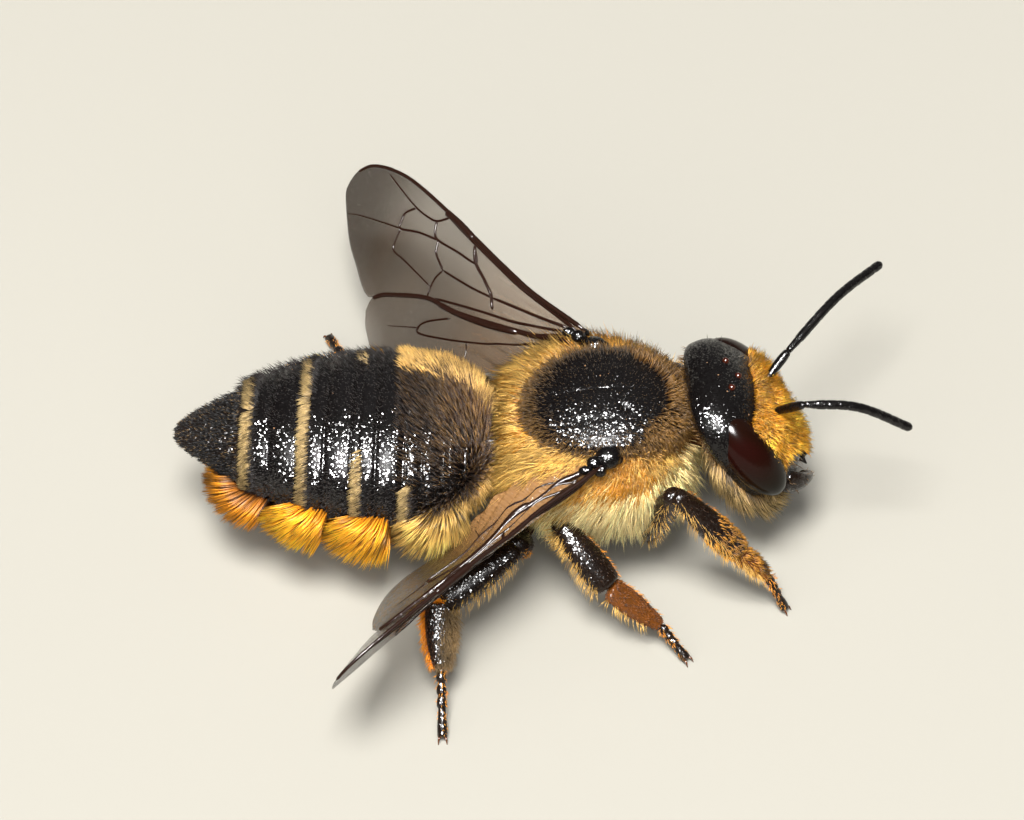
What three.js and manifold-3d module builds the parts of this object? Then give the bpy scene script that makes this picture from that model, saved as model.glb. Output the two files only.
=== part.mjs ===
// A female leafcutter bee at life size, standing on its six feet as a still model.
// Millimetres. +X is the way the bee faces, +Y its left and +Z up.
// Each body piece is the outer shape of that piece with its coat, out to the hair tips.
import * as THREE from "three";
import { mergeVertices } from "three/addons/utils/BufferGeometryUtils.js";
import Module from "manifold-3d";

const wasm = await Module();
wasm.setup();

// ---------------------------------------------------------------- driving dimensions

const GAP = 0.03; // the thin cut between two pieces that meet
const THIN = 0.5; // thickness of a wing, and the least diameter of a leg or feeler
const BACK = -1; // sides, as signs of Y
const FORTH = 1;

const THORAX = { rear: -0.55, front: 3.5, axis: 2.45, width: 4.5, rise: 1.82, drop: 1.72 };
const SCUTUM = { x: 1.67, length: 3.24, width: 2.6, top: 4.16, foot: 3.35 };
const ABDOMEN = { waist: [-0.74, -0.02, 2.62], length: 6.38, width: 4.15, rise: 1.34, drop: 1.22 };
const ABDOMEN_YAW = THREE.MathUtils.degToRad(-7.3);
const ABDOMEN_WIDEST = 0.3; // share of the length, from the waist
const SEGMENT_ENDS = [0, 0.13, 0.265, 0.42, 0.595, 0.78, 1]; // rear margins, as shares of the length
const BRUSH_CENTRES = [0.215, 0.43, 0.625, 0.8]; // the pollen brush's four tufts
const BRUSH = { length: 1.36, root: 0.17, reach: 0.72, spread: 1.3 };

const HEAD_CENTRE = [4.62, -0.14, 2.9];
const HEAD_TOP = [-0.3, 0, 1.68];
const HEAD_FOOT = [0.2, 0, -1.54];
const HEAD_SECTIONS = [ // up the head: height, reach forward, reach back, half width
  [-1.46, 0.36, -0.06, 0.46],
  [-1.2, 0.56, -0.36, 1.02],
  [-0.9, 0.64, -0.54, 1.36],
  [-0.4, 0.72, -0.7, 1.66],
  [0.2, 0.72, -0.78, 1.76],
  [0.7, 0.62, -0.82, 1.66],
  [1.1, 0.44, -0.86, 1.4],
  [1.38, 0.22, -0.86, 1.1],
  [1.56, -0.02, -0.82, 0.74],
];
const HEAD_TILT = THREE.MathUtils.degToRad(-24); // the mouth is further forward than the crown
const HEAD_ROLL = THREE.MathUtils.degToRad(-7); // the right side is held a little higher
const EYE = { x: 0.14, y: 1.38, z: 0.15, long: 2.2, wide: 1.04, bulge: 0.47, lean: 0.28, slant: -0.12 };
const OCELLUS_RADIUS = 0.13;
const FACE = { x: 0.38, z: -0.14, deep: 0.66, wide: 1.14, high: 1.08 };

const WING_HINGE = [1.3, 1.75, 3.8];
const WING_PITCH = { left: 42, right: 52 }; // degrees that the hind edge drops below level

// ---------------------------------------------------------------- solids

/** A closed geometry as a manifold solid. */
function toSolid(geometry) {
  const bare = geometry.clone();
  bare.deleteAttribute("normal");
  bare.deleteAttribute("uv");
  const merged = mergeVertices(bare, 1e-4);
  const mesh = new wasm.Mesh({
    numProp: 3,
    vertProperties: merged.attributes.position.array,
    triVerts: new Uint32Array(merged.index.array),
  });
  return new wasm.Manifold(mesh);
}

/** A manifold solid as a geometry. */
function toGeometry(solid) {
  const mesh = solid.getMesh();
  const geometry = new THREE.BufferGeometry();
  geometry.setAttribute("position", new THREE.BufferAttribute(mesh.vertProperties, 3));
  geometry.setIndex(new THREE.BufferAttribute(mesh.triVerts, 1));
  return geometry;
}

/** The solid made larger by gap on every side of its box. */
function grown(solid, gap) {
  const { min, max } = solid.boundingBox();
  const middle = min.map((low, i) => (low + max[i]) / 2);
  const scale = min.map((low, i) => (max[i] - low + 2 * gap) / (max[i] - low));
  return solid.translate(middle.map((c) => -c)).scale(scale).translate(middle);
}

/** The largest of the bodies that a cut leaves. */
function mainBody(solid) {
  return solid.decompose().reduce((a, b) => (b.volume() > a.volume() ? b : a));
}

/** A closed skin over a stack of rings, each with the same number of points, with a point at each end. */
function skinned(rings, firstEnd, lastEnd) {
  const count = rings[0].length;
  const points = [...rings.flat(), firstEnd, lastEnd];
  const first = points.length - 2;
  const last = points.length - 1;
  const index = [];
  for (let i = 0; i < count; i++) {
    const j = (i + 1) % count;
    index.push(first, j, i);
    for (let r = 0; r + 1 < rings.length; r++) {
      const [a, b, c, d] = [r * count + i, r * count + j, (r + 1) * count + j, (r + 1) * count + i];
      index.push(a, b, c, a, c, d);
    }
    index.push(last, (rings.length - 1) * count + i, (rings.length - 1) * count + j);
  }
  const geometry = new THREE.BufferGeometry().setFromPoints(points).setIndex(index);
  const solid = toSolid(geometry);
  if (solid.volume() > 0) return solid;
  for (let i = 0; i < index.length; i += 3) [index[i], index[i + 1]] = [index[i + 1], index[i]];
  return toSolid(geometry.setIndex(index));
}

/**
 * Points round a ring of the given centre and half axes, with its own rise and drop.
 * It is an ellipse at power 2 and squarer above that, and its lower half can have a power of its own.
 */
function ring(centre, side, up, halfWidth, rise, drop, count, power = 2, lowerPower = power) {
  return Array.from({ length: count }, (_, i) => {
    const angle = (2 * Math.PI * i) / count;
    const exponent = 2 / (Math.sin(angle) > 0 ? power : lowerPower);
    const round = (value) => Math.sign(value) * Math.abs(value) ** exponent;
    const across = round(Math.cos(angle)) * halfWidth;
    const height = round(Math.sin(angle)) * (Math.sin(angle) > 0 ? rise : drop);
    return centre.clone().addScaledVector(side, across).addScaledVector(up, height);
  });
}

/** A limb along a curve. radiusAt(t) gives its half width and half thickness. Its thin side faces flat. */
function limb(curve, radiusAt, flat, steps, sides) {
  const rings = [];
  for (let s = 0; s <= steps; s++) {
    const t = 0.5 - 0.5 * Math.cos((Math.PI * (s + 0.35)) / (steps + 0.7));
    const tangent = curve.getTangent(t);
    const side = new THREE.Vector3().crossVectors(tangent, flat).normalize();
    const up = new THREE.Vector3().crossVectors(side, tangent).normalize();
    const [wide, thick] = radiusAt(t);
    rings.push(ring(curve.getPoint(t), side, up, wide, thick, thick, sides));
  }
  return skinned(rings, curve.getPoint(0), curve.getPoint(1));
}

/** A smooth curve through points given as number triples. */
function through(...points) {
  return new THREE.CatmullRomCurve3(points.map((p) => new THREE.Vector3(...p)));
}

/** 1 in the middle of a limb and falling to 0 over the last share of each end. */
function roundEnds(t, share) {
  const near = Math.min(t, 1 - t) / share;
  return near >= 1 ? 1 : Math.sqrt(1 - (1 - near) ** 2);
}

/** An ellipsoid at a point, with half axes along X, Y and Z. */
function ellipsoid(centre, halfAxes, columns, rows) {
  const ball = new THREE.SphereGeometry(1, columns, rows);
  ball.scale(...halfAxes).translate(...centre);
  return toSolid(ball);
}

/** The same point on the bee's other side. */
const mirrored = ([x, y, z], side) => [x, Math.abs(y) * side, z];

// ---------------------------------------------------------------- finishes

const finish = (color, roughness) => new THREE.MeshStandardMaterial({ color, roughness, metalness: 0 });
const BLACK_SHELL = finish(0x16130f, 0.35);
const BUFF_COAT = finish(0xc79a52, 0.9);
const DARK_COAT = finish(0x2a1f15, 0.85);
const GOLD_FACE = finish(0xd2851c, 0.9);
const ORANGE_BRUSH = finish(0xd9790f, 0.9);
const BROWN_LEG = finish(0x2b1a10, 0.45);
const RUST_FOOT = finish(0x7a3a10, 0.6);
const EYE_SHELL = finish(0x1d1213, 0.2);
const WING_FILM = finish(0x3b3424, 0.3);

// ---------------------------------------------------------------- the tree of pieces

const bee = new THREE.Group();
const pieces = new Map();

/** A group at a place in the bee, turned about its own axes. */
function placed(position, rotation = [0, 0, 0]) {
  const group = new THREE.Group();
  group.position.set(...position);
  group.rotation.set(...rotation);
  bee.add(group);
  bee.updateMatrixWorld(true);
  return group;
}

/** The solid of an earlier piece, in the frame of the given group. */
function solidIn(group, name) {
  const { mesh, solid } = pieces.get(name);
  const across = group.matrixWorld.clone().invert().multiply(mesh.matrixWorld);
  return solid.transform(across.elements);
}

/** Adds a named piece to a group, cut back from the earlier pieces that it meets. */
function add(group, name, solid, material, cutBy = []) {
  const cut = cutBy.reduce((kept, other) => kept.subtract(grown(solidIn(group, other), GAP)), solid);
  const body = mainBody(cut);
  const mesh = new THREE.Mesh(toGeometry(body), material);
  mesh.name = name;
  group.add(mesh);
  bee.updateMatrixWorld(true);
  pieces.set(name, { mesh, solid: body });
}

const AHEAD = new THREE.Vector3(1, 0, 0);
const LEFT = new THREE.Vector3(0, 1, 0);
const UP = new THREE.Vector3(0, 0, 1);
const trunk = placed([0, 0, 0]);

// ---------------------------------------------------------------- thorax

/** An upright oval plug under the shield's outline, made wider by a margin, up to the given height. */
function shieldPlug(margin, top) {
  const { x, length, width, foot } = SCUTUM;
  const plug = new THREE.CylinderGeometry(1, 1, top - foot, 24).rotateX(Math.PI / 2);
  plug.scale(length / 2 + margin, width / 2 + margin, 1);
  return toSolid(plug.translate(x, 0, (top + foot) / 2 - margin));
}

/** The bare black shield on top of the thorax: an oval plug with a low dome for its top. */
function scutumSolid() {
  const { x, length, width, top } = SCUTUM;
  const dome = ellipsoid([x, 0, top - 2], [length / 2 + 0.62, width / 2 + 1.05, 2], 18, 10);
  return shieldPlug(0, top + 1).intersect(dome);
}

/** The furred trunk of the thorax, an egg along X that is squarer at the shoulders. */
function thoraxSolid() {
  const { rear, front, axis, width, rise, drop } = THORAX;
  const rings = [];
  const steps = 10;
  for (let s = 1; s < steps; s++) {
    const along = -Math.cos((Math.PI * s) / steps);
    const swell = (1 - Math.abs(along) ** 2.5) ** 0.46;
    const centre = new THREE.Vector3(THREE.MathUtils.lerp(rear, front, (along + 1) / 2), 0, axis);
    rings.push(ring(centre, LEFT, UP, (width / 2) * swell, rise * swell, drop * swell, 22, 2.1));
  }
  return skinned(rings, new THREE.Vector3(rear, 0, axis), new THREE.Vector3(front, 0, axis));
}

add(trunk, "thorax", thoraxSolid().subtract(shieldPlug(GAP, SCUTUM.top + 1)), BUFF_COAT);
add(trunk, "scutum", scutumSolid(), BLACK_SHELL);

// ---------------------------------------------------------------- abdomen

const hips = placed(ABDOMEN.waist, [0, 0, ABDOMEN_YAW]);

/** The abdomen's swelling at a share of its length: blunt at the waist, pointed at the tip. */
function abdomenSwell(share) {
  if (share < ABDOMEN_WIDEST) return Math.sqrt(1 - (1 - share / ABDOMEN_WIDEST) ** 2) ** 0.8;
  const towardsTip = (share - ABDOMEN_WIDEST) / (1 - ABDOMEN_WIDEST);
  return Math.cos((Math.PI / 2) * towardsTip) ** 0.65;
}

/** One ring of an abdomen segment, with its rear margin standing proud of the next segment. */
function abdomenRing(share, lift, count) {
  const swell = Math.max(abdomenSwell(share), 0.02);
  const centre = new THREE.Vector3(-share * ABDOMEN.length, 0, 0);
  const half = (ABDOMEN.width / 2) * swell + lift;
  return ring(centre, LEFT, UP, half, ABDOMEN.rise * swell + lift, ABDOMEN.drop * swell + lift, count, 2.2);
}

for (let n = 1; n < SEGMENT_ENDS.length; n++) {
  const cut = GAP / ABDOMEN.length;
  const from = n === 1 ? 0.004 : SEGMENT_ENDS[n - 1] + cut / 2;
  const to = n === SEGMENT_ENDS.length - 1 ? 0.996 : SEGMENT_ENDS[n] - cut / 2;
  const rows = n === SEGMENT_ENDS.length - 1 ? 4 : 3;
  const rings = [];
  for (let r = 0; r <= rows; r++) {
    const t = r / rows;
    const proud = n === SEGMENT_ENDS.length - 1 ? 0 : 0.06 * t ** 2;
    rings.push(abdomenRing(THREE.MathUtils.lerp(from, to, t), proud - 0.03, 20));
  }
  const end = (share) => new THREE.Vector3(-share * ABDOMEN.length, 0, 0);
  const coat = n < 3 ? DARK_COAT : BLACK_SHELL;
  add(hips, `abdomen_${n}`, skinned(rings, end(from), end(to)), coat, ["thorax"]);
}

const waist = through([0.5, 0, 0], [0.1, 0, 0], [-0.25, 0, 0]);
add(hips, "petiole", limb(waist, () => [0.42, 0.38], UP, 3, 10), BLACK_SHELL, ["thorax", "abdomen_1"]);

/** One tuft of the pollen brush: a fan of hair under a belly plate, wrapped round the underside. */
function brushTuft(share) {
  const shrink = 0.7 + 0.3 * abdomenSwell(share);
  const half = (BRUSH.length / 2) * shrink;
  const columns = 8;
  const rings = [];
  for (let c = 0; c <= columns; c++) {
    const angle = THREE.MathUtils.lerp(-BRUSH.spread, BRUSH.spread, c / columns);
    const reach = BRUSH.reach * shrink * Math.sqrt(1 - (angle / (BRUSH.spread * 1.1)) ** 2);
    const outward = new THREE.Vector3(0, Math.sin(angle), -Math.cos(angle));
    const corner = (ahead, out) => {
      const at = Math.min(share - (ahead * half) / ABDOMEN.length, 0.97);
      const swell = abdomenSwell(at);
      const y = Math.sin(angle) * (ABDOMEN.width / 2) * swell;
      const z = -Math.cos(angle) * ABDOMEN.drop * swell;
      return new THREE.Vector3(-at * ABDOMEN.length, y, z).addScaledVector(outward, BRUSH.root + out);
    };
    rings.push([
      corner(0.8, 0),
      corner(0.8, reach * 0.55),
      corner(0.2, reach),
      corner(-0.8, reach * 0.92),
      corner(-0.97, reach * 0.45),
      corner(-0.9, 0),
    ]);
  }
  const middle = (points) => {
    const sum = points.reduce((total, p) => total.add(p), new THREE.Vector3());
    return sum.divideScalar(points.length);
  };
  return skinned(rings, middle(rings[0]), middle(rings[columns]));
}

BRUSH_CENTRES.forEach((share, i) => {
  const earlier = i > 0 ? [`scopa_${i}`] : [];
  add(hips, `scopa_${i + 1}`, brushTuft(share), ORANGE_BRUSH, ["thorax", ...earlier]);
});

// ---------------------------------------------------------------- head
// In the head's own frame +X is the way the face looks and +Z runs up the face to the crown.

const skull = placed(HEAD_CENTRE, [HEAD_ROLL, HEAD_TILT, 0]);

/** The head capsule: a thick lens with a broad crown that leans back over the neck. */
function headSolid() {
  const rings = HEAD_SECTIONS.map(([height, front, back, halfWidth]) => {
    const middle = THREE.MathUtils.lerp(back, front, 0.35);
    const centre = new THREE.Vector3(middle, 0, height);
    return ring(centre, LEFT, AHEAD, halfWidth, front - middle, middle - back, 18, 2.3, 4);
  });
  return skinned(rings, new THREE.Vector3(...HEAD_FOOT), new THREE.Vector3(...HEAD_TOP));
}

/** A compound eye, a long lens on the side of the head that leans in at the top. */
function eyeSolid(side) {
  const ball = new THREE.SphereGeometry(1, 12, 8)
    .scale(EYE.wide / 2, EYE.bulge, EYE.long / 2)
    .rotateX(EYE.lean * side)
    .rotateY(EYE.slant)
    .translate(EYE.x, EYE.y * side, EYE.z);
  return toSolid(ball);
}

const ocellusSolid = (centre) => ellipsoid(centre, Array(3).fill(OCELLUS_RADIUS), 6, 4);
const lenses = {
  eye_left: eyeSolid(FORTH),
  eye_right: eyeSolid(BACK),
  ocellus_front: ocellusSolid([0.32, 0, 1.2]),
  ocellus_left: ocellusSolid([0.14, 0.34, 1.38]),
  ocellus_right: ocellusSolid([0.14, -0.34, 1.38]),
};
const sockets = Object.values(lenses).map((lens) => grown(lens, GAP));
const capsule = sockets.reduce((kept, socket) => kept.subtract(socket), headSolid());
add(skull, "head", capsule, BLACK_SHELL, ["thorax"]);
for (const [name, lens] of Object.entries(lenses)) add(skull, name, lens, EYE_SHELL, ["thorax"]);
const faceBall = ellipsoid([FACE.x, 0, FACE.z], [FACE.deep, FACE.wide, FACE.high], 12, 8);
add(skull, "face", faceBall, GOLD_FACE, ["head", "eye_left", "eye_right"]);

const neck = limb(through([3.2, 0, 2.7], [3.7, 0, 2.75], [4.25, 0, 2.8]), () => [0.62, 0.55], UP, 2, 9);
add(trunk, "neck", neck, BLACK_SHELL, ["thorax", "head"]);

/** A jaw that runs from the lower cheek to the middle of the mouth. */
function mandibleSolid(side) {
  const route = through([0.1, 0.95 * side, -1.06], [0.38, 0.76 * side, -1.48], [0.46, 0.25 * side, -1.78]);
  const radiusAt = (t) => [0.34 - 0.12 * t, 0.27 - 0.06 * t].map((r) => r * roundEnds(t, 0.2));
  return limb(route, radiusAt, LEFT, 5, 8);
}
const jawNeighbours = ["head", "face", "eye_left", "eye_right"];
add(skull, "mandible_left", mandibleSolid(FORTH), BLACK_SHELL, jawNeighbours);
add(skull, "mandible_right", mandibleSolid(BACK), BLACK_SHELL, [...jawNeighbours, "mandible_left"]);

// ---------------------------------------------------------------- antennae

const ANTENNAE = {
  left: {
    socket: [4.95, 0.42, 3.5],
    elbow: [5.55, 0.95, 3.75],
    middle: [6.68, 2.18, 3.85],
    tip: [7.76, 3.3, 3.52],
  },
  right: {
    socket: [4.95, -0.42, 3.45],
    elbow: [5.64, -0.98, 4.38],
    middle: [6.75, -0.92, 4.07],
    tip: [7.88, -0.86, 3.2],
  },
};
const FLAGELLUM_JOINTS = 10;

for (const [side, { socket, elbow, middle, tip }] of Object.entries(ANTENNAE)) {
  const radiusAt = (share) => (t) => Array(2).fill((THIN / 2) * roundEnds(t, share));
  const scape = limb(through(socket, elbow), radiusAt(0.12), UP, 4, 6);
  add(trunk, `scape_${side}`, scape, BLACK_SHELL, ["head", "face", `eye_${side}`, "ocellus_front"]);
  const whip = limb(through(elbow, middle, tip), radiusAt(0.06), UP, FLAGELLUM_JOINTS, 6);
  add(trunk, `flagellum_${side}`, whip, BLACK_SHELL, [`scape_${side}`]);
}

// ---------------------------------------------------------------- wings
// A wing's outline is drawn flat: u runs from the hinge to the tip, and w from fore edge to hind edge.

const FOREWING_COSTA = [[-0.35, -0.16], [1.68, -0.29], [3.72, -0.68], [5.34, -0.95]];
const FOREWING_TIP = [[5.34, -0.95], [6.14, -0.96], [6.72, -0.81], [7.1, -0.2]];
const FOREWING_MARGIN = [[6.97, 0.12], [6.42, 0.8], [5.99, 1.16], [5.3, 1.66]];
const FOREWING_TRAIL = [[4.81, 1.38], [3.82, 1.03], [2.94, 0.97], [1.11, 0.59], [0.3, 0.21], [-0.35, 0.12]];
const HINDWING_LEAD = [[0.1, 0.3], [1.11, 0.72], [2.94, 1.12], [3.82, 1.18], [4.75, 1.52], [5.2, 1.87]];
const HINDWING_TRAIL = [[4.94, 2.26], [4.29, 2.7], [3.4, 2.66], [2.2, 2.05], [1.0, 1.3], [0.1, 0.6]];
const WING_TIPS = { left: [-3.03, 7.0, 2.5], right: [-4.3, -5.92, 2.5] };

/** A flat plate of wing thickness from runs of outline points, each run a smooth curve. */
function wingPlate(runs) {
  const outline = runs.flatMap((run, i) => {
    const curve = new THREE.SplineCurve(run.map((p) => new THREE.Vector2(...p)));
    const points = curve.getPoints(2 * (run.length - 1));
    const joined = i > 0 && points[0].distanceTo(new THREE.Vector2(...runs[i - 1].at(-1))) < 1e-6;
    return joined ? points.slice(1) : points;
  });
  const plate = new THREE.ExtrudeGeometry(new THREE.Shape(outline), { depth: THIN, bevelEnabled: false });
  return toSolid(plate.translate(0, 0, -THIN / 2));
}

/** A group whose X runs along the wing and whose Y runs from its fore edge to its hind edge. */
function wingFrame(name, side) {
  const hinge = new THREE.Vector3(...mirrored(WING_HINGE, side));
  const along = new THREE.Vector3(...WING_TIPS[name]).sub(hinge).normalize();
  const pitch = THREE.MathUtils.degToRad(WING_PITCH[name]);
  const level = new THREE.Vector3().crossVectors(along, UP).multiplyScalar(-side).normalize();
  const down = new THREE.Vector3().crossVectors(level, along).multiplyScalar(side).normalize();
  const chord = level.multiplyScalar(Math.cos(pitch)).addScaledVector(down, Math.sin(pitch));
  const face = new THREE.Vector3().crossVectors(along, chord);
  const group = placed(hinge.toArray());
  group.setRotationFromMatrix(new THREE.Matrix4().makeBasis(along, chord, face));
  bee.updateMatrixWorld(true);
  return group;
}

for (const [name, side] of [["left", FORTH], ["right", BACK]]) {
  const tegula = ellipsoid(mirrored([1.6, 1.64, 3.66], side), [0.42, 0.36, 0.3], 9, 7);
  add(trunk, `tegula_${name}`, tegula, BLACK_SHELL, ["thorax", "scutum"]);
  const frame = wingFrame(name, side);
  const fore = wingPlate([FOREWING_COSTA, FOREWING_TIP, FOREWING_MARGIN, FOREWING_TRAIL]);
  add(frame, `forewing_${name}`, fore, WING_FILM, ["thorax", `tegula_${name}`]);
  const hind = wingPlate([HINDWING_LEAD, HINDWING_TRAIL]);
  add(frame, `hindwing_${name}`, hind, WING_FILM, ["thorax", `forewing_${name}`, "abdomen_1"]);
}

// ---------------------------------------------------------------- legs
// Joint centres of the right legs. The toes rest on small flats at the floor.

const LEGS = {
  front: {
    hip: [2.6, -0.7, 1.05],
    ring: [2.5, -1.42, 0.98],
    knee: [2.9, -2.12, 3.2],
    ankle: [4.2, -2.5, 1.64],
    heel: [4.8, -2.66, 0.95],
    toe: [5.16, -2.88, 0.1],
    femur: [0.42, 0.36],
    tibia: [0.4, 0.34],
    basitarsus: 0.33,
  },
  middle: {
    hip: [1.3, -0.75, 0.95],
    ring: [1.0, -1.5, 0.85],
    knee: [0.6, -2.1, 2.42],
    ankle: [1.5, -3.05, 1.45],
    heel: [2.53, -3.48, 0.62],
    toe: [3.02, -4.0, 0.1],
    femur: [0.42, 0.36],
    tibia: [0.42, 0.34],
    basitarsus: 0.38,
  },
  hind: {
    hip: [-0.05, -0.7, 1.2],
    ring: [-0.25, -1.35, 1.05],
    knee: [-0.28, -2.34, 2.05],
    ankle: [-1.94, -3.16, 1.5],
    heel: [-2.03, -4.4, 0.95],
    toe: [-2.1, -5.54, 0.1],
    femur: [0.42, 0.38],
    tibia: [0.48, 0.38],
    basitarsus: 0.42,
  },
};
const LEFT_POSE = { // the joints of the left legs that don't mirror the right ones
  front: {
    knee: [2.95, 1.95, 2.3],
    ankle: [4.0, 2.2, 1.15],
    heel: [4.55, 2.35, 0.65],
    toe: [5.0, 2.6, 0.1],
  },
  middle: {
    knee: [0.55, 2.05, 2.0],
    ankle: [1.25, 2.95, 1.15],
    heel: [2.1, 3.4, 0.55],
    toe: [2.6, 3.9, 0.1],
  },
  hind: {
    knee: [-0.4, 2.25, 1.7],
    ankle: [-2.85, 2.85, 0.85],
    heel: [-3.3, 4.0, 0.52],
    toe: [-3.66, 5.15, 0.1],
  },
};

/** A leg with its joints on one side. */
function legOn(name, side) {
  const leg = { ...LEGS[name], ...(side === FORTH ? LEFT_POSE[name] : {}) };
  for (const joint of ["hip", "ring", "knee", "ankle", "heel", "toe"]) {
    leg[joint] = mirrored(leg[joint], side);
  }
  return leg;
}

/** A straight leg segment that swells to its widest at a share of its length. */
function segment(from, to, [wide, thick], widest, steps) {
  const rise = (t) => (t < widest ? t / widest : (1 - t) / (1 - widest));
  const belly = (t) => 0.72 + 0.28 * Math.sin((Math.PI / 2) * rise(t));
  const radiusAt = (t) => [wide, thick].map((r) => r * belly(t) * roundEnds(t, 0.16));
  const bone = new THREE.LineCurve3(new THREE.Vector3(...from), new THREE.Vector3(...to));
  return limb(bone, radiusAt, UP, steps, 7);
}

/** The foot: a flat first joint, four small beads and two claws, cut off level with the floor. */
function tarsusSolid({ ankle, heel, toe, basitarsus }) {
  const flatShare = 0.52;
  const route = through(ankle, heel, toe);
  const radiusAt = (t) => {
    const wave = Math.abs(Math.cos((4 * Math.PI * (t - flatShare)) / (1 - flatShare)));
    const beads = (THIN / 2) * (0.86 + 0.14 * wave);
    const paddle = t < flatShare ? (basitarsus - THIN / 2) * Math.sin((Math.PI * t) / flatShare) ** 0.5 : 0;
    return [beads + paddle, beads].map((r) => r * roundEnds(t, 0.07));
  };
  let solid = limb(route, radiusAt, UP, 8, 6);
  const along = new THREE.Vector3(...toe).sub(new THREE.Vector3(...heel)).setZ(0).normalize();
  const across = new THREE.Vector3(-along.y, along.x, 0);
  for (const turn of [-1, 1]) {
    const root = new THREE.Vector3(...toe).addScaledVector(along, -0.12).setZ(0.06);
    const point = root.clone().addScaledVector(along, 0.3).addScaledVector(across, 0.2 * turn);
    const claw = new THREE.LineCurve3(root, point);
    solid = solid.add(limb(claw, (t) => [0.14 - 0.04 * t, 0.15 - 0.05 * t], UP, 1, 4));
  }
  const floor = toSolid(new THREE.BoxGeometry(20, 20, 2).translate(0, 0, -1));
  return solid.subtract(floor);
}

for (const leg of Object.keys(LEGS)) {
  for (const [name, side] of [["left", FORTH], ["right", BACK]]) {
    const joints = legOn(leg, side);
    const label = (part) => `${part}_${leg}_${name}`;
    const neighbours = ["thorax", "head", `forewing_${name}`, `hindwing_${name}`];
    const coxa = segment(joints.hip, joints.ring, [0.5, 0.46], 0.4, 4);
    add(trunk, label("coxa"), coxa, DARK_COAT, ["thorax"]);
    const femur = segment(joints.ring, joints.knee, joints.femur, 0.45, 5);
    add(trunk, label("femur"), femur, BROWN_LEG, [...neighbours, label("coxa")]);
    const tibia = segment(joints.knee, joints.ankle, joints.tibia, 0.7, 5);
    add(trunk, label("tibia"), tibia, BROWN_LEG, [...neighbours, label("femur")]);
    add(trunk, label("tarsus"), tarsusSolid(joints), RUST_FOOT, [label("tibia")]);
  }
}

// ---------------------------------------------------------------- the origin, under the middle of the bee

const box = new THREE.Box3().setFromObject(bee, true);
const centre = box.getCenter(new THREE.Vector3());
bee.position.set(-centre.x, -centre.y, -box.min.z);

export default bee;
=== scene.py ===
"""A female leafcutter bee at life size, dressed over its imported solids.

Shapes are worked out in millimetres in the bee's own frame: +X is the way it faces, +Y its left
and +Z up, with the floor at 0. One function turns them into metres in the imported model's frame.
"""

import logging
import math
from collections.abc import Callable, Sequence
from dataclasses import dataclass, field, replace
from enum import Enum

import bpy
import numpy as np
from bpy.types import Material, NodeSocket, NodeTree, Object
from mathutils import Matrix, Vector
from mathutils.kdtree import KDTree


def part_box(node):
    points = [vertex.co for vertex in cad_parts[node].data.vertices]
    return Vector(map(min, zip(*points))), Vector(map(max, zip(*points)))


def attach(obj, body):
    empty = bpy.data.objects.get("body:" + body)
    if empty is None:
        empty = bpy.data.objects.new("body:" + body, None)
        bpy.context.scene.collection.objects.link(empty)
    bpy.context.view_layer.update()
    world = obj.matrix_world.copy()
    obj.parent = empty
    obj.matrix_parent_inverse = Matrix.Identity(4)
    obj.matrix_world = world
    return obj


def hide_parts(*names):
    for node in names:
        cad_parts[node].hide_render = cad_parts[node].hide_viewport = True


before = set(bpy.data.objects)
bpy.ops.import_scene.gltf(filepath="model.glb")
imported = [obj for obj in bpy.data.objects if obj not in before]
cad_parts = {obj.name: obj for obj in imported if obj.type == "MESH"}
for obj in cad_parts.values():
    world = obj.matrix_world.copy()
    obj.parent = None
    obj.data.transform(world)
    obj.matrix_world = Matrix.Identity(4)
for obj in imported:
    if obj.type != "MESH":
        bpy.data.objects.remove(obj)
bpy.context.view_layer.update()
LOG = logging.getLogger("bee")

Array = np.ndarray
Point = tuple[float, float, float]
Pair = tuple[float, float]
Density = Callable[["Roots"], Array]
MM = 0.001
WAVES = 9
BODY = "root"
SIDES = {"right": -1, "left": 1}
UP = np.array([0.0, 0.0, 1.0])
AHEAD = np.array([1.0, 0.0, 0.0])
SIDEWAYS = np.array([0.0, 1.0, 0.0])


# -------- small tools


def unit(vectors: Array) -> Array:
    """Vectors scaled to length 1, along the last axis."""
    return vectors / np.maximum(np.linalg.norm(vectors, axis=-1, keepdims=True), 1e-12)


def smooth_step(low: float, high: float, value: Array) -> Array:
    """0 below low, 1 above high and a smooth rise between them."""
    t = np.clip((value - low) / (high - low), 0.0, 1.0)
    return t * t * (3.0 - 2.0 * t)


def hump(value: Array, centre: float, width: float) -> Array:
    """A bell curve of height 1."""
    return np.exp(-(((value - centre) / width) ** 2))


def mottle(places: Array, size: float, seed: int) -> Array:
    """A smooth random field from about -1 to 1.

    Args:
        places: Points in millimetres, (n, 3).
        size: The rough size of one patch, in millimetres.
        seed: Chooses the field.

    Returns:
        One value for each point.
    """
    rng = np.random.default_rng(seed)
    waves = rng.normal(size=(3, WAVES)) * (2.4 / size)
    phases = rng.uniform(0, 2 * math.pi, WAVES)
    return np.sin(places @ waves + phases).sum(axis=1) / 4.0


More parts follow.
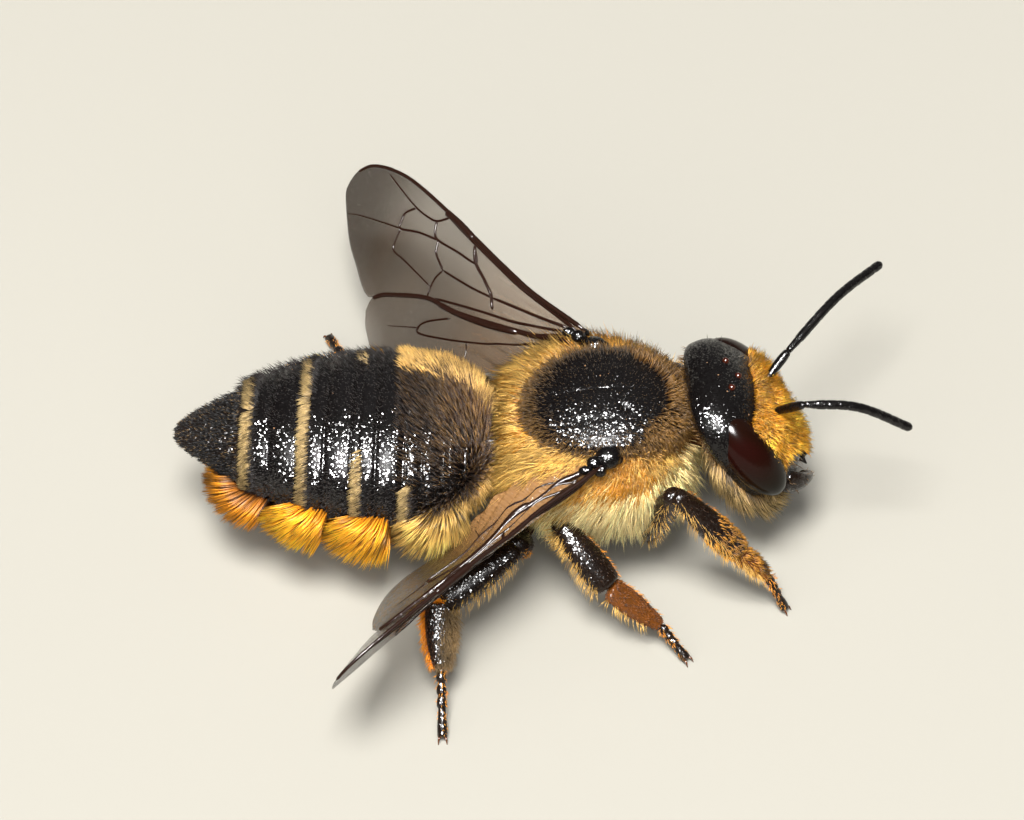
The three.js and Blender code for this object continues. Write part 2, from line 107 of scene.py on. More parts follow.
def curve_through(points: Sequence[Sequence[float]], steps: int) -> Array:
    """A smooth Catmull-Rom curve through points.

    Args:
        points: The points that the curve passes through.
        steps: How many points to return, ends included.

    Returns:
        The points along the curve, evenly spread between the given ones.
    """
    p = np.asarray(points, float)
    if len(p) == 2:
        return p[0] + np.linspace(0, 1, steps)[:, None] * (p[1] - p[0])
    padded = np.vstack([2 * p[0] - p[1], p, 2 * p[-1] - p[-2]])
    at = np.linspace(0, len(p) - 1, steps)
    i = np.minimum(at.astype(int), len(p) - 2)
    t = (at - i)[:, None]
    a, b, c, d = padded[i], padded[i + 1], padded[i + 2], padded[i + 3]
    return 0.5 * (2 * b + (c - a) * t + (2 * a - 5 * b + 4 * c - d) * t**2 + (3 * b - a - 3 * c + d) * t**3)


def srgb(hex_colour: str) -> tuple[float, ...]:
    """A colour written as sRGB hex, as linear red, green and blue."""
    parts = [int(hex_colour[i : i + 2], 16) / 255 for i in (1, 3, 5)]
    red, green, blue = [p / 12.92 if p <= 0.04045 else ((p + 0.055) / 1.055) ** 2.4 for p in parts]
    return red, green, blue


class Tint(Enum):
    """The bee's colours, named for what wears them."""

    CREAM = "#FFEDB2"
    CREAM_ROOT = "#F4D084"
    GOLDEN = "#E6BE68"
    GOLDEN_ROOT = "#B07E28"
    TUFT = "#B8822A"
    TUFT_ROOT = "#BC7C1A"
    DULL_GOLD = "#CFAA62"
    PALE_BUFF = "#E2C68A"
    BUFF = "#C99A4A"
    TAWNY = "#8C6830"
    GOLD = "#DDA033"
    FACE_PALE = "#F2BE44"
    FACE = "#E49C16"
    FACE_ROOT = "#A8690A"
    BRUSH = "#F6B42C"
    BRUSH_ROOT = "#D0800C"
    ORANGE_GOLD = "#E8981C"
    ORANGE = "#D0740C"
    RUST = "#6C3908"
    BROWN = "#4B2F14"
    DARK_BROWN = "#1C1109"
    BLACK = "#080606"
    SMOKE = "#3A2B1A"
    SMOKE_TIP = "#241A10"
    WARM_FILM = "#8E6A44"
    VEIN = "#1E0D06"
    OCELLUS = "#42160A"
    EYE_RED = "#1C0705"
    # A painted reflection of green surroundings, blended over the lower eye and its edge.
    EYE_OLIVE_REFLECTION = "#0C0B04"
    POLLEN = "#8C6A48"
    BAND_ROOT = "#86704A"
    BAND = "#C2AA76"

    @property
    def linear(self) -> Array:
        """The colour as linear red, green and blue."""
        return np.array(srgb(self.value))


THORAX_CORNER = np.array([-0.55, -2.25, 0.0])
_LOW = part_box("thorax")[0]
SHIFT = np.array([_LOW.x, _LOW.y, 0.0]) - THORAX_CORNER * MM


def in_frame(points: Array) -> Array:
    """Points in millimetres in the bee's frame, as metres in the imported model's frame."""
    return np.asarray(points, float) * MM + SHIFT


def own_places(matrix: Matrix, places: Array) -> Array:
    """Places in the bee's frame, as places in the frame of a part that a matrix puts in the bee's."""
    inverse = np.array(matrix.inverted())
    return places @ inverse[:3, :3].T + inverse[:3, 3]


def turned(matrix: Matrix, vectors: Array) -> Array:
    """Directions in a part's own frame, as directions in the bee's."""
    return vectors @ np.array(matrix)[:3, :3].T


# -------- surfaces and meshes


@dataclass
class Roots:
    """Places on a skin where hairs grow, one row each."""

    place: Array
    normal: Array
    back: Array
    around: Array
    unwrap: Array

    @property
    def x(self) -> Array:
        """How far ahead each root is."""
        return self.place[:, 0]

    @property
    def y(self) -> Array:
        """How far to the left each root is."""
        return self.place[:, 1]

    @property
    def z(self) -> Array:
        """How high each root is."""
        return self.place[:, 2]

    def pick(self, keep: Array) -> "Roots":
        """The roots that a mask or an index keeps."""
        return Roots(self.place[keep], self.normal[keep], self.back[keep], self.around[keep], self.unwrap[keep])


def cell_corners(grid: Array) -> list[Array]:
    """The value at each corner of every cell of a grid whose rows are closed, in order round the cell."""
    following = np.roll(grid, -1, axis=1)
    return [grid[:-1], following[:-1], following[1:], grid[1:]]


@dataclass
class Skin:
    """A surface as rows of points, each row closed on itself, with the last row further on than the first."""

    points: Array
    normals: Array = field(init=False)

    def __post_init__(self) -> None:
        """Works out the outward normal at each point."""
        along = np.gradient(self.points, axis=0)
        around = np.roll(self.points, -1, axis=1) - np.roll(self.points, 1, axis=1)
        normals = unit(np.cross(around, along))
        outward = self.points - self.points.mean(axis=1, keepdims=True)
        if (normals * outward).sum() < 0:
            normals = -normals
        self.normals = normals

    def moved(self, matrix: Matrix) -> "Skin":
        """The same surface after a rigid move."""
        m = np.array(matrix)
        return Skin(self.points @ m[:3, :3].T + m[:3, 3])

    def scatter(self, count: int, seed: int, density: Density | None = None) -> Roots:
        """Random roots over the surface.

        Args:
            count: How many roots.
            seed: Chooses the places.
            density: Gives a weight for each root of a trial set, or None for an even spread.

        Returns:
            The roots, with their unwrap place from 0 to 1 along and around the surface.
        """
        rng = np.random.default_rng(seed)
        rows, columns = self.points.shape[:2]
        corners, corner_normals = cell_corners(self.points), cell_corners(self.normals)
        area = np.linalg.norm(np.cross(corners[2] - corners[0], corners[3] - corners[1]), axis=-1).ravel()
        trial = 1 if density is None else 4
        cells = rng.choice(area.size, count * trial, p=area / area.sum())
        u, v = rng.random((2, cells.size, 1))
        mixes = [(1 - u) * (1 - v), u * (1 - v), u * v, (1 - u) * v]
        flat = [c.reshape(-1, 3)[cells] for c in corners]
        place = sum(m * c for m, c in zip(mixes, flat))
        normal = unit(sum(m * c.reshape(-1, 3)[cells] for m, c in zip(mixes, corner_normals)))
        back = unit((flat[3] + flat[2]) - (flat[0] + flat[1]))
        around = unit((flat[1] + flat[2]) - (flat[0] + flat[3]))
        row, column = cells // columns, cells % columns
        unwrap = np.stack([(column + u[:, 0]) / columns, (row + v[:, 0]) / (rows - 1)], axis=1)
        roots = Roots(place, normal, back, around, unwrap)
        if density is None:
            return roots
        weight = np.clip(density(roots), 0, None)
        if weight.sum() <= 0:
            return roots.pick(np.zeros(0, int))
        kept = rng.choice(weight.size, min(count, int((weight > 1e-3).sum())), replace=False, p=weight / weight.sum())
        return roots.pick(kept)

    def solid(self) -> tuple[Array, list[tuple[int, ...]]]:
        """The points and faces of the closed surface, with a point in the middle of each end."""
        rows, columns = self.points.shape[:2]
        points = np.vstack([self.points.reshape(-1, 3), self.points[0].mean(0), self.points[-1].mean(0)])
        first, last = rows * columns, rows * columns + 1
        faces: list[tuple[int, ...]] = []
        for i in range(columns):
            j = (i + 1) % columns
            faces.append((first, i, j))
            faces.append((last, (rows - 1) * columns + j, (rows - 1) * columns + i))
            for r in range(rows - 1):
                a, b = r * columns, (r + 1) * columns
                faces.append((a + i, b + i, b + j, a + j))
        around = self.points[rows // 2, 1] - self.points[rows // 2, 0]
        along = self.points[min(rows // 2 + 1, rows - 1), 0] - self.points[rows // 2 - 1, 0]
        if np.dot(np.cross(along, around), self.normals[rows // 2, 0]) < 0:
            faces = [f[::-1] for f in faces]
        return points, faces


def superellipse(columns: int, half_width: Array, rise: Array, drop: Array, power: float) -> tuple[Array, Array]:
    """Across and height round a ring, for each row.

    Args:
        columns: How many points round the ring.
        half_width: Half the width of each row.
        rise: How far each row reaches up from its middle.
        drop: How far each row reaches down.
        power: 2 for an ellipse, and more for a squarer ring.

    Returns:
        Two arrays of rows by columns.
    """
    angle = np.linspace(0, 2 * math.pi, columns, endpoint=False)
    cosine, sine = np.cos(angle), np.sin(angle)
    across = np.sign(cosine) * np.abs(cosine) ** (2 / power)
    height = np.sign(sine) * np.abs(sine) ** (2 / power)
    reach = np.where(sine > 0, np.asarray(rise)[:, None], np.asarray(drop)[:, None])
    return np.asarray(half_width)[:, None] * across, reach * height


def tube(path: Array, wide: Array, thick: Array, flat: Array = UP, columns: int = 20) -> Skin:
    """A limb along a path, as wide and as thick as given at each point, with its thin side facing flat."""
    tangent = unit(np.gradient(path, axis=0))
    side = unit(np.cross(tangent, flat))
    up = np.cross(side, tangent)
    across, height = superellipse(columns, wide, thick, thick, 2.0)
    return Skin(path[:, None] + across[..., None] * side[:, None] + height[..., None] * up[:, None])


def ball(centre: Sequence[float], half_axes: Sequence[float], lean: float = 0.0, fine: int = 24) -> Skin:
    """An ellipsoid whose rows run from its underside to its top, leaning about X by an angle in radians."""
    turn = np.linspace(0.02, math.pi - 0.02, fine)
    across, ahead = superellipse(fine * 2, np.sin(turn), np.sin(turn), np.sin(turn), 2.0)
    height = np.repeat(-np.cos(turn)[:, None], fine * 2, axis=1)
    points = np.stack([ahead, across, height], axis=-1) * np.asarray(half_axes)
    leant = np.array(Matrix.Rotation(lean, 3, "X"))
    return Skin(points @ leant.T + np.asarray(centre))


def make_piece(
    name: str,
    skins: Sequence[Skin],
    material: Material,
    nodes: Sequence[str] = (),
    tint: Callable[[Array], Array] | None = None,
) -> Object:
    """One piece of the bee from one or more closed surfaces.

    Args:
        name: The piece's name.
        skins: The closed surfaces, in millimetres.
        material: What the piece wears.
        nodes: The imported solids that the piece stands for.
        tint: Gives a linear colour for each point, for a material that reads the tint, and a fourth value if
            the material reads a density too.

    Returns:
        The new object, riding on the bee's body.
    """
    points, faces, start = [], [], 0
    for skin in skins:
        p, f = skin.solid()
        points.append(p)
        faces += [tuple(start + i for i in face) for face in f]
        start += len(p)
    stacked = np.vstack(points)
    mesh = bpy.data.meshes.new(name)
    mesh.from_pydata(in_frame(stacked).tolist(), [], faces)
    if tint is not None:
        colours = np.hstack([tint(stacked), np.ones((len(stacked), 1))])[:, :4]
        mesh.color_attributes.new("tint", "FLOAT_COLOR", "POINT").data.foreach_set("color", colours.ravel())
    mesh.materials.append(material)
    mesh.shade_smooth()
    return place_piece(bpy.data.objects.new(name, mesh), nodes)


def place_piece(piece: Object, nodes: Sequence[str] = ()) -> Object:
    """Links a piece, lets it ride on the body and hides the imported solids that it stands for."""
    bpy.context.scene.collection.objects.link(piece)
    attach(piece, BODY)
    if nodes:
        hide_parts(*nodes)
    LOG.info("%s: %d faces", piece.name, len(piece.data.polygons))
    return piece


def join_skin(piece: Object, grain_mm: float = 0.045) -> None:
    """Joins a piece's overlapping surfaces into one smooth skin, with faces about grain_mm wide."""
    remesh = piece.modifiers.new("one_skin", "REMESH")
    remesh.mode = "VOXEL"
    remesh.voxel_size = grain_mm * MM
    remesh.use_smooth_shade = True
    piece.modifiers.new("soften", "SMOOTH").iterations = 4
    graph = bpy.context.evaluated_depsgraph_get()
    solid = bpy.data.meshes.new_from_object(piece.evaluated_get(graph))
    piece.modifiers.clear()
    piece.data = solid


# -------- finishes


def add(tree: NodeTree, kind: str, inputs: dict | None = None, **settings: object) -> bpy.types.Node:
    """Adds a shader node.

    Args:
        tree: The material's node tree.
        kind: The node's type name.
        inputs: A value, or an output socket to link, for each input name or number.
        settings: The node's own settings.

    Returns:
        The new node.
    """
    made = tree.nodes.new(kind)
    for key, value in settings.items():
        setattr(made, key, value)
    for key, value in (inputs or {}).items():
        if isinstance(value, NodeSocket):
            tree.links.new(value, made.inputs[key])
        else:
            made.inputs[key].default_value = value
    return made


def texture(tree: NodeTree, kind: str, place: NodeSocket, size_mm: float, inputs: dict | None = None) -> bpy.types.Node:
    """Adds a texture, "Noise" or "Voronoi", whose pattern is about size_mm millimetres across."""
    return add(tree, f"ShaderNodeTex{kind}", {"Vector": place, "Scale": 1 / (size_mm * MM), **(inputs or {})})


def ramp(tree: NodeTree, value: NodeSocket, start: float, end: float, low: float = 0.0, high: float = 1.0,
         **settings: object) -> NodeSocket:
    """Maps a value between start and end onto low to high, and gives the result."""
    inputs = {"Value": value, "From Min": start, "From Max": end, "To Min": low, "To Max": high}
    return add(tree, "ShaderNodeMapRange", inputs, **settings).outputs["Result"]


def bump(tree: NodeTree, height: NodeSocket, depth_mm: float, strength: float | NodeSocket,
         over: NodeSocket | None = None, **settings: object) -> NodeSocket:
    """Adds relief, over another normal if one is given, and gives the new normal."""
    inputs = {"Height": height, "Distance": depth_mm * MM, "Strength": strength}
    if over is not None:
        inputs["Normal"] = over
    return add(tree, "ShaderNodeBump", inputs, **settings).outputs["Normal"]


def faceted(tree: NodeTree, place: NodeSocket, normal: NodeSocket, size_mm: float, sparkle: float) -> NodeSocket:
    """Tilts a normal a little at random from each small facet to the next.

    Args:
        tree: The material's node tree.
        place: The place on the surface.
        normal: The normal to tilt.
        size_mm: How large a facet is.
        sparkle: How far the facets tilt, 0 for none.

    Returns:
        The tilted normal.
    """
    facing = texture(tree, "Voronoi", place, size_mm).outputs["Color"]
    steps = (("SUBTRACT", {1: (0.5, 0.5, 0.5)}), ("SCALE", {"Scale": sparkle}), ("ADD", {1: normal}), ("NORMALIZE", {}))
    for operation, other in steps:
        facing = add(tree, "ShaderNodeVectorMath", {0: facing, **other}, operation=operation).outputs["Vector"]
    return facing


@dataclass(frozen=True)
class Finish:
    """A named look. Each kind of finish adds its own nodes and says what the surface shader reads."""

    name: str

    def inputs(self, tree: NodeTree) -> dict:
        """Adds the nodes of this kind and gives the surface shader's inputs."""
        raise NotImplementedError

    def material(self) -> Material:
        """Builds the material."""
        material = bpy.data.materials.new(self.name)
        material.use_nodes = True
        tree = material.node_tree
        tree.nodes.clear()
        shader = add(tree, "ShaderNodeBsdfPrincipled", self.inputs(tree))
        add(tree, "ShaderNodeOutputMaterial", {"Surface": shader.outputs["BSDF"]})
        return material


@dataclass(frozen=True)
class Chitin(Finish):
    """Insect shell: hardened chitin, moulded in place, smooth between small round pits.

    A thin clear waxy layer over a near-black body gives sharp white highlights. The pits and the
    many small facets between them break the highlights into sparks.
    """

    colour: Tint
    mottled: Tint
    roughness: float = 0.3
    pit_spacing_mm: float = 0.075
    pit_depth_mm: float = 0.003
    pit_share: float = 0.34
    facet_mm: float = 0.03
    sparkle: float = 0.0
    wax: float = 0.8
    wax_roughness: float = 0.09

    def inputs(self, tree: NodeTree) -> dict:
        """Pits, grain and facets under the wax, and a faint cloud in the colour."""
        place = add(tree, "ShaderNodeTexCoord").outputs["Object"]
        pits = texture(tree, "Voronoi", place, self.pit_spacing_mm, {"Randomness": 0.85}).outputs["Distance"]
        bowls = ramp(tree, pits, 0.05, self.pit_share, interpolation_type="SMOOTHSTEP")
        # Skin grain is near 0.01 mm, and is drawn at 0.03 mm so that it shows.
        grain = texture(tree, "Noise", place, 0.03, {"Detail": 2.0}).outputs["Fac"]
        normal = bump(tree, grain, 0.0008, 0.8, bump(tree, bowls, self.pit_depth_mm, 1.0))
        cloud = texture(tree, "Noise", place, 0.6, {"Detail": 3.0}).outputs["Fac"]
        # The Mix node has like-named inputs for each data type, so its colours are set by number.
        colours = {6: (*self.colour.linear, 1), 7: (*self.mottled.linear, 1)}
        return {
            "Base Color": add(tree, "ShaderNodeMix", {0: cloud, **colours}, data_type="RGBA").outputs[2],
            "Roughness": ramp(tree, grain, 0.3, 0.7, self.roughness * 0.7, self.roughness * 1.5),
            "IOR": 1.56, "Specular IOR Level": 0.04, "Normal": normal,
            "Coat Weight": self.wax, "Coat Roughness": self.wax_roughness, "Coat IOR": 1.46,
            "Coat Normal": faceted(tree, place, normal, self.facet_mm, self.sparkle),
        }


@dataclass(frozen=True)
class HairCoat(Finish):
    """Insect hair: fine branched chitin bristles, solid and waxy.

    Each hair has a soft shine along its length, and its colour is paler at the tip. The colour is
    held by the hair itself as its tint.
    """

    roughness: float = 0.5
    shine: float = 0.18

    def inputs(self, tree: NodeTree) -> dict:
        """The tint and a soft shine."""
        tint = add(tree, "ShaderNodeVertexColor", layer_name="tint").outputs["Color"]
        return {"Base Color": tint, "Roughness": self.roughness, "IOR": 1.55, "Specular IOR Level": self.shine}


@dataclass(frozen=True)
class CompoundEye(Finish):
    """A compound eye: thousands of clear six-sided lenses over a dark lining.

    It looks like polished dark glass, red-brown above and olive below, with one sharp highlight; the olive is a painted
    reflection held by its tint.
    Its lenses are 0.02 mm across and are drawn at 0.035 mm.
    """

    name: str = "eye_lens_cells"

    def inputs(self, tree: NodeTree) -> dict:
        """The tint, red-brown with a painted olive reflection, under a raised dome for each lens."""
        place = add(tree, "ShaderNodeTexCoord").outputs["Object"]
        tint = add(tree, "ShaderNodeVertexColor", layer_name="tint").outputs["Color"]
        cells = texture(tree, "Voronoi", place, 0.035, {"Randomness": 0.25}).outputs["Distance"]
        return {"Base Color": tint, "Roughness": 0.18, "IOR": 1.5, "Specular IOR Level": 0.11,
                "Normal": bump(tree, cells, 0.0012, 0.5, invert=True)}


@dataclass(frozen=True)
class WingMembrane(Finish):
    """Wing film: two sheets of clear chitin fused flat, 0.01 to 0.02 mm thick, stained smoke brown.

    It is see-through with a satin gloss and fine ripples, and looks denser at a slant. The stain's
    colour and density are held by the film as its tint.
    """

    slant_gain: float = 1.7
    sparkle: float = 0.3

    def inputs(self, tree: NodeTree) -> dict:
        """Wrinkles, ribs near the root and facets, and a density that grows with the slant."""
        place = add(tree, "ShaderNodeTexCoord").outputs["Object"]
        tint = add(tree, "ShaderNodeVertexColor", layer_name="tint")
        # Hairs and wrinkles of the film stand about 0.14 mm apart.
        ripples = texture(tree, "Noise", place, 0.14, {"Detail": 3.0}).outputs["Fac"]
        # Ribs cross the stiff root 0.1 mm apart, where the stain is amber.
        ribs = add(
            tree, "ShaderNodeTexWave", {"Vector": place, "Scale": 0.1 * math.pi / (0.1 * MM), "Distortion": 1.5},
            wave_type="BANDS", bands_direction="DIAGONAL",
        )
        red = add(tree, "ShaderNodeSeparateColor", {"Color": tint.outputs["Color"]}).outputs["Red"]
        wrinkled = bump(tree, ripples, 0.03, 0.8)
        normal = bump(tree, ribs.outputs["Fac"], 0.02, ramp(tree, red, 0.085, 0.13), wrinkled)
        slant = add(tree, "ShaderNodeLayerWeight", {"Blend": 0.35}).outputs["Facing"]
        gain = ramp(tree, slant, 0.1, 0.8, 1.0, self.slant_gain)
        density = {0: tint.outputs["Alpha"], 1: gain}
        return {
            "Base Color": tint.outputs["Color"], "Roughness": 0.2, "IOR": 1.56, "Specular IOR Level": 0.8,
            "Alpha": add(tree, "ShaderNodeMath", density, operation="MULTIPLY", use_clamp=True).outputs["Value"],
            "Normal": normal, "Coat Weight": 1.0, "Coat Roughness": 0.1,
            # The film's short hairs and the facets between them are drawn 0.05 mm wide.
            "Coat Normal": faceted(tree, place, normal, 0.05, self.sparkle),
        }


@dataclass(frozen=True)
class StudioFloor(Finish):
    """Matt painted board under the bee, pale and even."""

    name: str = "painted_board"
    colour: str = "#969691"

    def inputs(self, tree: NodeTree) -> dict:
        """One even colour."""
        return {"Base Color": (*srgb(self.colour), 1), "Roughness": 0.85, "Specular IOR Level": 0.2}


# -------- coat


@dataclass(frozen=True)
class HairStyle:
    """How the hairs of one region look. Lengths are in millimetres and the rest are shares."""

    length: float
    root: Tint
    tip: Tint
    width: float = 0.016
    lift: float = 0.6
    bend: float = 0.5
    frizz: float = 0.18
    uneven: float = 0.25
    clump: float = 0.35
    clump_size: float = 0.16
    streaks: float = 0.3
    dark_strands: float = 0.0


@dataclass
class Locks:
    """Hairs ready to be made into a mesh: seven points, tints and unwrap places for each."""

    points: Array
    tints: Array
    unwrap: Array


HAIR_FACES = np.array(
    [(0, 2, 1), (0, 1, 4), (0, 4, 3), (1, 2, 5), (1, 5, 4), (2, 0, 3), (2, 3, 5), (3, 4, 6), (4, 5, 6), (5, 3, 6)]
)
PATCH = 0.003
PATCH_PLACES = PATCH * np.array(
    [(0.0, 0.0), (0.5, 0.0), (1.0, 0.0), (0.1, 0.55), (0.5, 0.55), (0.9, 0.55), (0.5, 1.0)]
)
FACES_PER_PIECE = 190_000
MOST_BRIGHT, LEAST_BRIGHT = 1.9, 0.12
DARK_STRAND_SHADE = 0.22
RING_WIDTHS = (1.0, 0.78)
ROOT_DEPTH = 0.02
MIDDLE_FOLLOWS = 0.35
TUFT_SPREAD = 0.35


def grow(roots: Roots, lie: Array, style: HairStyle, seed: int, length: Array | float = 1.0,
         shade: Array | float = 1.0) -> Locks:
    """Grows one hair from each root.

    Args:
        roots: Where the hairs stand.
        lie: The way the coat is combed, one vector each.
        style: How the hairs look.
        seed: Chooses the small differences.
        length: A share of the style's length, for each root.
        shade: A share of the style's brightness, for each root.

    Returns:
        The hairs.
    """
    rng = np.random.default_rng(seed)
    count = len(roots.place)
    flat_lie = unit(lie - (lie * roots.normal).sum(1, keepdims=True) * roots.normal)
    wander = rng.normal(size=(count, 3)) * style.frizz
    start = unit(style.lift * roots.normal + (1 - style.lift) * flat_lie + wander * 0.6)
    end = unit(start + style.bend * flat_lie + wander)
    size = style.length * (1 + style.uneven * rng.uniform(-1, 1, count)) * length
    size = np.asarray(size)[:, None]
    base = roots.place - roots.normal * ROOT_DEPTH
    middle = base + start * size * 0.5
    tip = middle + end * size * 0.5
    if style.clump > 0 and count > 20:
        tip = gather(roots.place, tip, style, rng)
        middle = middle + (tip - middle - end * size * 0.5) * MIDDLE_FOLLOWS
    first = unit(np.cross(start, rng.normal(size=(count, 3))))
    second = np.cross(start, first)
    rings = []
    for centre, share in zip((base, middle), RING_WIDTHS):
        for k in range(3):
            angle = 2 * math.pi * k / 3
            rings.append(centre + style.width * share * (math.cos(angle) * first + math.sin(angle) * second))
    points = np.stack([*rings, tip], axis=1)
    streak = 1 + style.streaks * mottle(roots.place, style.clump_size * 1.6, seed + 7)
    bright = np.clip(streak * rng.normal(1, 0.12, count) * shade, LEAST_BRIGHT, MOST_BRIGHT)
    bright = np.where(rng.random(count) < style.dark_strands, bright * DARK_STRAND_SHADE, bright)[:, None]
    root_tint = style.root.linear * bright
    tip_tint = style.tip.linear * bright
    mid_tint = 0.45 * root_tint + 0.55 * tip_tint
    tints = np.stack([root_tint] * 3 + [mid_tint] * 3 + [tip_tint], axis=1)
    unwrap = roots.unwrap[:, None] + PATCH_PLACES[None]
    return Locks(points, np.clip(tints, 0, 1), unwrap)


def gather(places: Array, tips: Array, style: HairStyle, rng: np.random.Generator) -> Array:
    """Pulls the tips of neighbouring hairs together into small tufts.

    Args:
        places: The hairs' roots.
        tips: Their free tips.
        style: Gives the tufts' size and how tight they are.
        rng: Chooses the leading hairs.

    Returns:
        The new tips.
    """
    spread = np.ptp(places, axis=0)
    area = max(spread[0] * spread[1], spread[1] * spread[2], spread[0] * spread[2], 0.05) * 2.0
    leaders = rng.choice(len(places), int(np.clip(area / style.clump_size**2, 4, len(places) // 4)), replace=False)
    tree = KDTree(len(leaders))
    for i, leader in enumerate(leaders):
        tree.insert(places[leader], i)
    tree.balance()
    nearest = leaders[[tree.find(p)[1] for p in places]]
    target = tips[nearest] + (places - places[nearest]) * TUFT_SPREAD
    near = np.linalg.norm(places - places[nearest], axis=1) < style.clump_size * 2.5
    pull = style.clump * rng.uniform(0.5, 1.0, len(places)) * near
    return tips + (target - tips) * pull[:, None]


@dataclass
class Coat:
    """Collects the hairs of one region and makes its pieces."""

    name: str
    slot: str
    groups: list[Locks] = field(default_factory=list)

    def add(self, roots: Roots, lie: Array, style: HairStyle, seed: int, length: Array | float = 1.0,
            shade: Array | float = 1.0) -> None:
        """Grows hairs on one skin, as grow does, and adds them."""
        if len(roots.place):
            self.groups.append(grow(roots, lie, style, seed, length, shade))

    def build(self, material: Material, nodes: Sequence[str] = ()) -> None:
        """Makes the coat's pieces, each under the limit of faces, with each skin's unwrap in a strip of its own."""
        strips = len(self.groups)
        strip = np.array([0.99, 0.97 / strips])
        points = np.concatenate([g.points for g in self.groups])
        tints = np.concatenate([g.tints for g in self.groups])
        unwrap = np.concatenate([g.unwrap * strip + np.array([0.0, i / strips]) for i, g in enumerate(self.groups)])
        per_piece = FACES_PER_PIECE // len(HAIR_FACES)
        for part, first in enumerate(range(0, len(points), per_piece)):
            chosen = slice(first, first + per_piece)
            mesh = self.mesh(f"{self.name}_{part + 1}", points[chosen], tints[chosen], unwrap[chosen])
            mesh.materials.append(material)
            place_piece(bpy.data.objects.new(mesh.name, mesh), nodes if part == 0 else ())

    @staticmethod
    def mesh(name: str, points: Array, tints: Array, unwrap: Array) -> bpy.types.Mesh:
        """One mesh of many hairs, with its tint and its OFBake map."""
        hairs, per_hair = points.shape[:2]
        corners = (HAIR_FACES[None] + (np.arange(hairs) * per_hair)[:, None, None]).reshape(-1)
        faces = hairs * len(HAIR_FACES)
        mesh = bpy.data.meshes.new(name)
        mesh.vertices.add(hairs * per_hair)
        mesh.vertices.foreach_set("co", in_frame(points.reshape(-1, 3)).astype(np.float32).ravel())
        mesh.loops.add(faces * 3)
        mesh.loops.foreach_set("vertex_index", corners.astype(np.int32))
        mesh.polygons.add(faces)
        mesh.polygons.foreach_set("loop_start", np.arange(0, faces * 3, 3, dtype=np.int32))
        mesh.update(calc_edges=True)
        colours = np.concatenate([tints.reshape(-1, 3), np.ones((hairs * per_hair, 1))], axis=1)
        layer = mesh.color_attributes.new("tint", "FLOAT_COLOR", "POINT")
        layer.data.foreach_set("color", colours.astype(np.float32).ravel())
        bake = mesh.uv_layers.new(name="OFBake")
        bake.data.foreach_set("uv", unwrap.reshape(-1, 2)[corners].astype(np.float32).ravel())
        mesh.shade_smooth()
        return mesh


# -------- thorax


